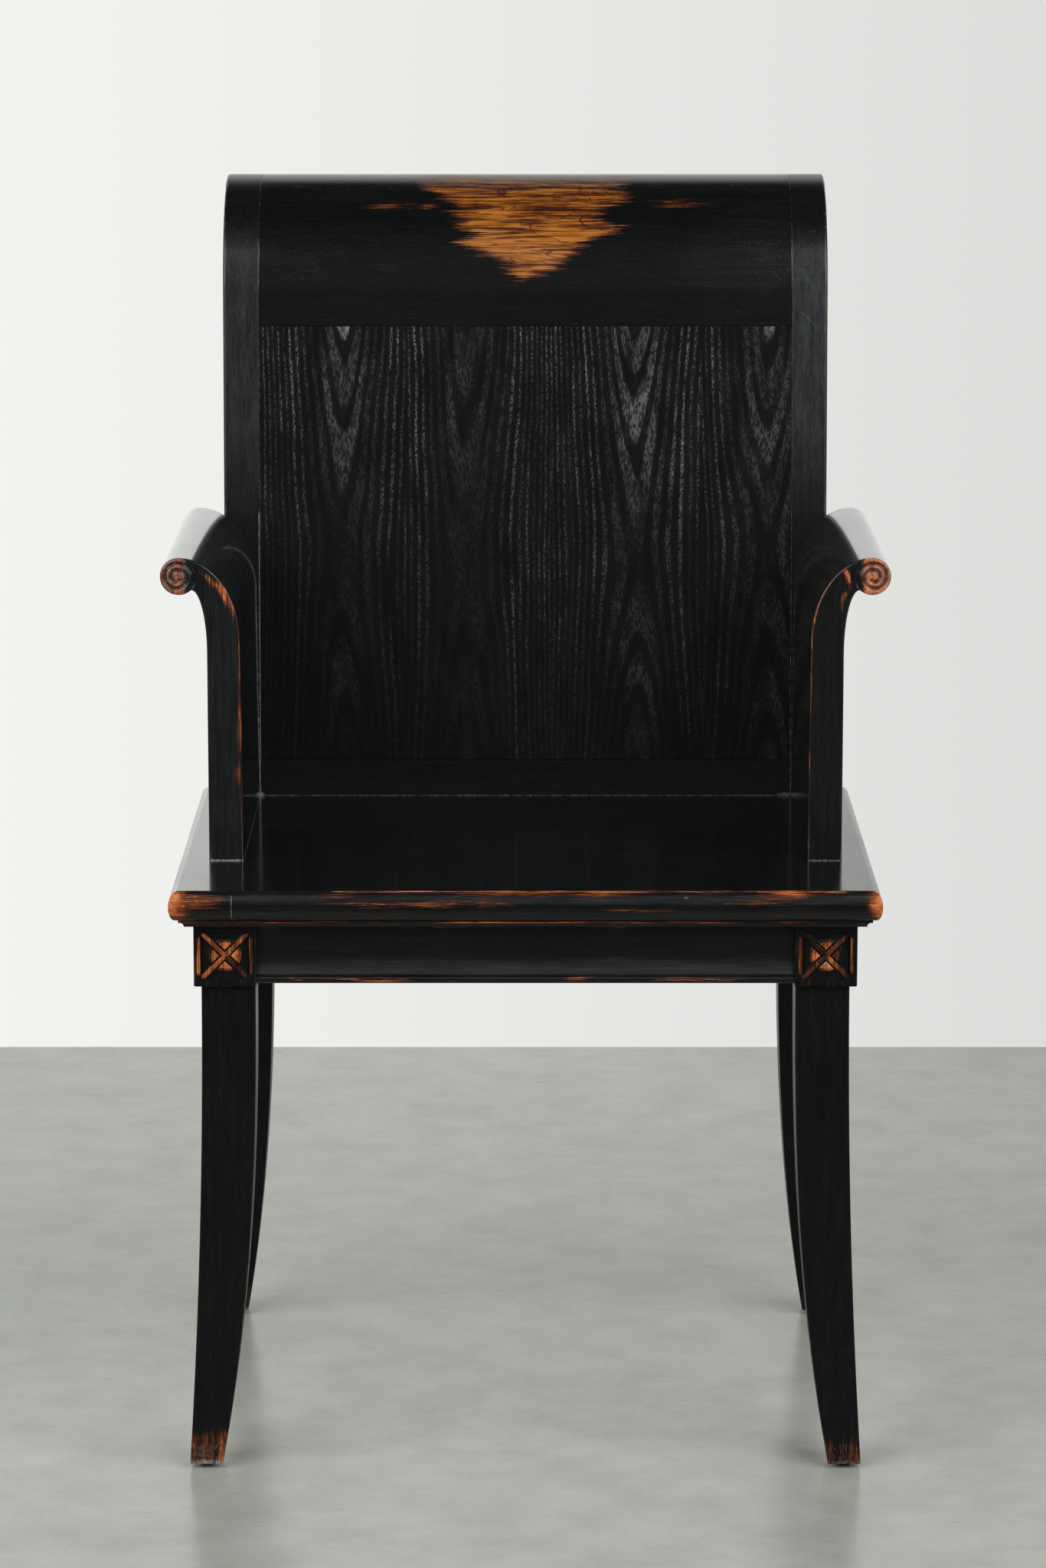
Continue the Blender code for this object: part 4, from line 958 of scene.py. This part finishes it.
def armPiece(outline, name, side):
    front, top, worn = arm["front"], seat["top"], armWear[name]
    marks = stops(0.0, backFront - front, easeLead(arm["ease"], 5), 0.0012, 0.010)
    skin, faces = sweepSkin(outline, lambda u, v: front, lambda u, v: backFace(v, 0.0002), marks,
                            (arm["ease"], 0.0), arm["rows"],
                            (scrollX, scrollZ, arm["scroll"] + arm["gridOver"], arm["grid"]), armRelief)
    points = [(side * u, w, v) for u, v, w in skin]
    edge = []
    for u, v in outline:
        inner = u < armInner + 0.02 and v < armTop - 0.02
        strength = np.interp(v, edgeHeights, worn["edge"]) if inner else arm["outerEdge"]
        edge.append((side * u, front, v, strength if v > top + arm["footTall"] else arm["footEdge"]))
    wear = alongLines(points, [(edge, arm["edgeReach"])] + [stroke(*s) for s in worn["strokes"]])
    joints = [deepLine(side * u, front, backFront, top, *arm["sideDust"]) for u in (armInner, armOuter)]
    foot = (worn["footDust"], arm["footReach"])
    joints.append(acrossLine(side * armInner, side * armOuter, front, top, *foot))
    dust = alongLines(points, joints)
    even = []
    for i, (u, v, w) in enumerate(skin):  # ridges of the spiral are rubbed bare under a thin film of dust
        inScroll = math.hypot(u - scrollX, v - scrollZ) < arm["scroll"] + 0.0005
        onFront = w < front + arm["frontSkin"]
        even.append(arm["evenScroll" if inScroll else "even"])
        if inScroll and w < front + arm["ease"] + 0.0008:
            ridge = 1 - armRelief(u, v) / arm["grooveDeep"] if onFront else 0.0
            body = clamp((u - scrollX + worn["start"]) / worn["run"], worn["least"])
            wear[i] = max(wear[i] * ridge, (worn["groove"] + (worn["ridge"] - worn["groove"]) * ridge) * body)
        if inScroll and onFront and u > scrollX + arm["filmFrom"]:
            dust[i] = max(dust[i], arm["film"])
    polish = [clamp((w - front - arm["waxFrom"]) / arm["waxFade"]) for u, v, w in skin]
    haze = [worn["haze"] if w < front + arm["frontSkin"] else 0.0 for u, v, w in skin]
    wear = np.maximum(wear, softSpots(points, worn["rubs"]))
    addPiece("arm" + name.title(), points, faces, [armUp], ["arm_" + name], wear=wear, dust=dust,
             polish=polish, even=even, haze=haze)


for name, side in sides:
    armPiece(armOutline(), name, side)
print("arms built")


def rollOutline(low):
    b, radius, square = back, back["rollRadius"], 180 - back["recline"]
    line = [(backFace(low), low)] + arcRun(rollY, rollZ, radius, radius, square, 90, 44)
    under, offset = radius - b["thick"], radius - b["rollScroll"]
    meet = math.pi / 2 + math.acos((under ** 2 + offset ** 2 - b["rollScroll"] ** 2) / (2 * under * offset))
    seamY, seamZ = rollY + under * math.cos(meet), rollZ + under * math.sin(meet)
    last = math.degrees(math.atan2(seamZ - rollEye, seamY - rollY)) - 360
    last = last if last > -360 else last + 360
    line += arcRun(rollY, rollEye, b["rollScroll"], b["rollScroll"], 90, last, 48)[1:]
    line += arcRun(rollY, rollZ, under, under, math.degrees(meet), square, 30)[1:]
    return refineRun(line + [(backFace(low, b["thick"] / math.cos(tilt)), low)], 0.0012, 0.008)


def rollRelief(u, v):
    return spiralDepth(u, v, (rollY, rollEye), back, back["rollScroll"])


crestWear = dict(  # worn patch: angle up the roll, left and right edge; beyond them it fades over soft
    rows=((8, -0.009, 0.001), (11, -0.011, 0.010), (16, -0.021, 0.029), (20, -0.026, 0.041),
          (24, -0.044, 0.050), (26, -0.047, 0.058), (28.6, -0.066, 0.046), (31.6, -0.046, 0.076),
          (38, -0.059, 0.090), (42, -0.060, 0.066), (48, -0.062, 0.064), (53, -0.063, 0.094),
          (60, -0.078, 0.091), (68, -0.094, 0.086), (90, -0.100, 0.110)),
    soft=0.036, edge=0.44, full=((12, 24, 45, 60, 75), (1.0, 0.86, 0.67, 0.60, 0.47)),  # most, by angle
    streaks=(((-0.131, 50.5), (0.026, 2.0), 0.62), ((-0.088, 50), (0.010, 2.0), 0.58),
             ((0.140, 53), (0.034, 5.0), 0.36), ((-0.02, 77), (0.18, 5.0), 0.48)),
    # the grey patch at the right end of the roll is a painted reflection
    haze=(((0.22, 0.47, 1.0), (0.05, 0.05, 0.03), 0.14),), endDust=0.50,
    scuff=(((0.225, 0.47, 1.0), (0.035, 0.05, 0.035), 1.0), ((-0.20, 0.47, 0.99), (0.03, 0.04, 0.02), 0.5)))


def crestRub(x, y, z):
    angle = math.degrees(math.atan2(z - rollZ, rollY - y))
    if not 5 < angle < 89.9 or math.hypot(y - rollY, z - rollZ) < back["rollRadius"] - 0.004:
        return 0.0
    angles, lefts, rights = zip(*crestWear["rows"])
    left, right = np.interp(angle, angles, lefts), np.interp(angle, angles, rights)
    inside = min(x - left, right - x, (angle - 8) * 0.004)
    full = np.interp(angle, *crestWear["full"])
    rub = clamp(crestWear["edge"] + inside / crestWear["soft"], 0.0, full) * min(1.0, (94 - angle) / 12)
    for (cx, ca), (wx, wa), strength in crestWear["streaks"]:
        rub = max(rub, strength * math.exp(-spotFall * (((x - cx) / wx) ** 2 + ((angle - ca) / wa) ** 2)))
    return rub


def crestRoll():
    outline, ease = rollOutline(rollStart), back["ease"]
    marks = stops(0.0, 2 * stileIn, easeLead(ease, 3), 0.0008, 0.006)
    skin, faces = sweepSkin(outline, lambda u, v: -stileIn, lambda u, v: stileIn, marks, (ease, ease))
    points = [(w, u, v) for u, v, w in skin]
    dust = [crestWear["endDust"] * max(0.0, 1 - (stileIn - abs(p[0])) / 0.0012) for p in points]
    wear = [crestRub(*p) for p in points]
    addPiece("crestRoll", points, faces, [backAcross], ["crest_roll"], wear=wear, dust=dust,
             haze=softSpots(points, crestWear["haze"]), scuff=softSpots(points, crestWear["scuff"]))


stileWear = dict(  # worn: heights on the outer edge
    edge=0.40, edgeWorn=0.54, edgeReach=0.0030, scroll=0.42, upperDust=0.45, dustWide=0.0022,
    hazeSheenFrom=(0.76, 0.1), hazeSheenTo=(1.03, 0.06), scuff=((0.258, 0.47, 0.97), (0.05, 0.06, 0.07)),
    left=dict(worn=(0.985, 1.062), dust=0.80, haze=0.42, scuff=0.5),
    right=dict(worn=(0.88, 1.064), dust=0.52, haze=0.62, scuff=0.9))


def stile(name, side):
    outline, ease = rollOutline(seat["top"] - back["sink"]), back["outerEase"]
    both, look = stileWear, stileWear[name]
    inner = [back["stile"] - o for o in (0.0002, 0.0004, 0.0012)]
    marks = stops(0.0, back["stile"], easeLead(ease, 5), 0.0010, 0.006, inner)
    skin, faces = sweepSkin(outline, lambda u, v: backHalf, lambda u, v: stileIn, marks, (ease, back["ease"]),
                            back["rows"], (rollY, rollEye, back["gridReach"], back["grid"]), rollRelief)
    points = [(side * w, u, v) for u, v, w in skin]
    low, high = look["worn"]
    edge = [(side * backHalf, u, v, both["edgeWorn" if low < v < high else "edge"])
            for u, v in outline if v > seat["top"] + 0.02 and u < rollY + 0.003]
    wear = alongLines(points, [(edge, both["edgeReach"])])
    for i, (u, v, w) in enumerate(skin):
        if math.hypot(u - rollY, v - rollEye) < back["rollScroll"] and w > backHalf - 0.003:
            wear[i] = max(wear[i], both["scroll"] * (1 - rollRelief(u, v) / back["grooveDeep"]) ** 2)
    dust = [(look["dust"] if z < armTop else both["upperDust"])
            * max(0.0, 1 - (abs(x) - stileIn) / both["dustWide"]) for x, y, z in points]
    (start, rise), (stop, fall) = both["hazeSheenFrom"], both["hazeSheenTo"]
    haze = [look["haze"] * clamp((z - start) / rise) * clamp((stop - z) / fall) for x, y, z in points]
    (x, y, z), half = both["scuff"]
    scuff = softSpots(points, [((side * x, y, z), half, look["scuff"])])
    addPiece("stile" + name.title(), points, faces, [backUp], ["back_stile_" + name], wear=wear,
             dust=np.maximum(dust, cornerDust(points)), haze=haze, scuff=scuff)


def backBoard(name, node, low, high, front, thick, finish, ease, coarse, slot="black_lacquer"):
    lead = edgeLead(ease, 3)
    xs, zs = stops(-stileIn, stileIn, lead, 0.0010, coarse), stops(low, high, lead, 0.0010, coarse)
    skin, faces = latticeBox(xs, stops(0.0, thick, lead, 0.002, 0.008), zs, ease)
    points = [(x, backFace(z, front + y), z) for x, y, z in skin]
    dust = cornerDust(points)
    if node == "back_rail_bottom":
        foot = acrossLine(-stileIn, stileIn, backFront, seat["top"], *back["footDust"])
        dust = np.maximum(dust, alongLines(points, [foot]))
    addPiece(name, points, faces, [finish], [node], slot=slot, dust=dust)


crestRoll()
for name, side in sides:
    stile(name, side)
bottomTop, topLow = seat["top"] + back["bottomRail"], rollStart - back["topRail"]
railDeep = back["thick"] / math.cos(tilt)
backBoard("backRailBottom", "back_rail_bottom", seat["top"] - back["sink"], bottomTop, 0.0, railDeep,
          backAcross, 0.0002, 0.012)
backBoard("backRailTop", "back_rail_top", topLow, rollStart, 0.0, railDeep, backAcross, 0.0002, 0.012)
backBoard("backPanel", "back_panel", bottomTop, topLow, back["panelSink"], back["panelThick"], panelGrain,
          0.0005, 0.014, "grained_panel")
print("back built")

for nodeName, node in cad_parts.items():  # pieces kept as packed get their finish only
    finish = glideSteel if nodeName.startswith("glide") else bareWood
    if nodeName.startswith(("glide", "dowel", "seat_brace", "corner_brace")):
        node.data.materials.clear()
        node.data.materials.append(finish)
print("kept pieces finished")

room = dict(  # pale floor and wall, two soft lamps at the sides, a dim surrounding
    half=9.0, wall=1.547, wallHigh=4.0, shade=(1.60, 2.1), shaded=(0.05, 0.05, 0.05, 1),
    bright=(0.926, 0.936, 0.910, 1), dim=(0.690, 0.700, 0.680, 1), slope=(-1.1, 1.1),
    floorTone=(0.436, 0.450, 0.405, 1), floorStain=(0.300, 0.311, 0.277, 1), floorNear=(0.10, 0.10, 0.09, 1),
    nearFrom=(-1.8, -0.1), lampSide=2.7, lampFront=-2.6, lampHeight=2.7, lampSize=3.6, lampPower=150.0,
    lampAim=(0.0, 0.0, 0.6),
    greys=((0.0, 0.08), (0.46, 0.08), (0.50, 0.11), (0.57, 0.25), (0.76, 0.19), (0.96, 0.085), (1.0, 0.05)))


def plainSheet(name, corners, finish):
    mesh = bpy.data.meshes.new(name)
    mesh.from_pydata([(x, y + seatFront, z) for x, y, z in corners], [], [(0, 1, 2, 3)])
    mesh.materials.append(finish)
    sheet = bpy.data.objects.new(name, mesh)
    bpy.context.scene.collection.objects.link(sheet)


def wallFinish():  # pale wall, a little brighter on the left, in shade above the picture
    material, wire, shader, place = newFinish("wall_plain")
    tone = place.axis("X").rise(*room["slope"]).blend(room["bright"], room["dim"])
    tone = place.axis("Z").rise(*room["shade"]).blend(tone, room["shaded"])
    wire.feed(shader, {"Base Color": tone, "Roughness": 0.9})
    # camera and reflection rays see the wall glow with its own tone instead of being lit
    rays = [wire.make("LightPath", output="Is %s Ray" % kind)
            for kind in ("Camera", "Glossy", "Transmission")]
    glow = wire.make("BsdfPrincipled", {}, {"Base Color": (0, 0, 0, 1), "Specular IOR Level": 0.0,
                                            "Emission Color": tone, "Emission Strength": 1.0})
    seen = (rays[0] + rays[1] + rays[2]).least(1.0)
    surface = wire.make("MixShader", {}, {0: seen, 1: Wire(wire.tree, shader.outputs[0]), 2: glow})
    behind, clear = wire.make("NewGeometry", output="Backfacing"), wire.make("BsdfTransparent")
    surface = wire.make("MixShader", {}, {0: behind, 1: surface, 2: clear})  # seen from the front only
    wire.feed(wire.tree.nodes["Material Output"], {"Surface": surface})
    return material


def floorFinish():  # smooth pale concrete, dimmer out in front of the picture
    material, wire, shader, place = newFinish("floor_plain")
    grit, stain, cloud = place.noise(420.0, 4.0, 0.6), place.noise(14.0, 7.0, 0.7), place.noise(1.8, 4.0, 0.6)
    marks = place.stretch((0.25, 1.0, 1.0)).noise(120.0).rise(0.64, 0.76)
    tone = (stain * 0.55 + cloud * 0.35 + grit * 0.25 + marks * 0.12).rise(0.38, 0.82)
    tone = tone.blend(room["floorTone"], room["floorStain"])
    far = place.axis("Y").rise(*(seatFront + y for y in room["nearFrom"]))
    wire.feed(shader, {"Base Color": far.blend(room["floorNear"], tone),
                       "Roughness": 0.13 + grit * 0.15 + stain * 0.07})
    return material


def addLamp(name, place, target, size, power):
    lamp = bpy.data.lights.new(name, "AREA")
    lamp.shape, lamp.size, lamp.energy = "SQUARE", size, power
    holder = bpy.data.objects.new(name, lamp)
    holder.location = place
    holder.rotation_euler = (Vector(target) - Vector(place)).to_track_quat("-Z", "Y").to_euler()
    bpy.context.scene.collection.objects.link(holder)


wide, wallY, high = room["half"], room["wall"], room["wallHigh"]
plainSheet("floor", ((-wide, -wide, 0), (wide, -wide, 0), (wide, wide, 0), (-wide, wide, 0)), floorFinish())
corners = ((-wide, wallY, 0), (wide, wallY, 0), (wide, wallY, high), (-wide, wallY, high))
plainSheet("wall", corners, wallFinish())
for name, side in sides:
    spot = (side * room["lampSide"], room["lampFront"], room["lampHeight"])
    addLamp("lamp_" + name, spot, room["lampAim"], room["lampSize"], room["lampPower"])

world = bpy.data.worlds.new("surround")
bpy.context.scene.world = world
world.use_nodes = True
air = Wire(world.node_tree)
up = air.make("TexCoord", output="Generated").axis("Z")
tones = [(place, (grey, grey, grey, 1)) for place, grey in room["greys"]]
tone = air.make("ValToRGB", {"stops": tones}, {0: up * 0.5 + 0.5})
air.feed(world.node_tree.nodes["Background"], {"Color": tone, "Strength": 1.0})

view = dict(place=(-0.0021, -4.3517, 1.4304), tilt=0.1884, lens=121.87, film=36.0, far=60.0)
camera = bpy.data.cameras.new("view")
camera.sensor_fit, camera.sensor_height, camera.lens = "VERTICAL", view["film"], view["lens"]
camera.clip_end = view["far"]
holder = bpy.data.objects.new("view", camera)
holder.location = (view["place"][0], view["place"][1] + seatFront, view["place"][2])
holder.rotation_euler = (math.pi / 2 - view["tilt"], 0.0, 0.0)
bpy.context.scene.collection.objects.link(holder)
bpy.context.scene.camera = holder
bpy.context.scene.view_settings.view_transform = "Standard"
print("room and camera set")
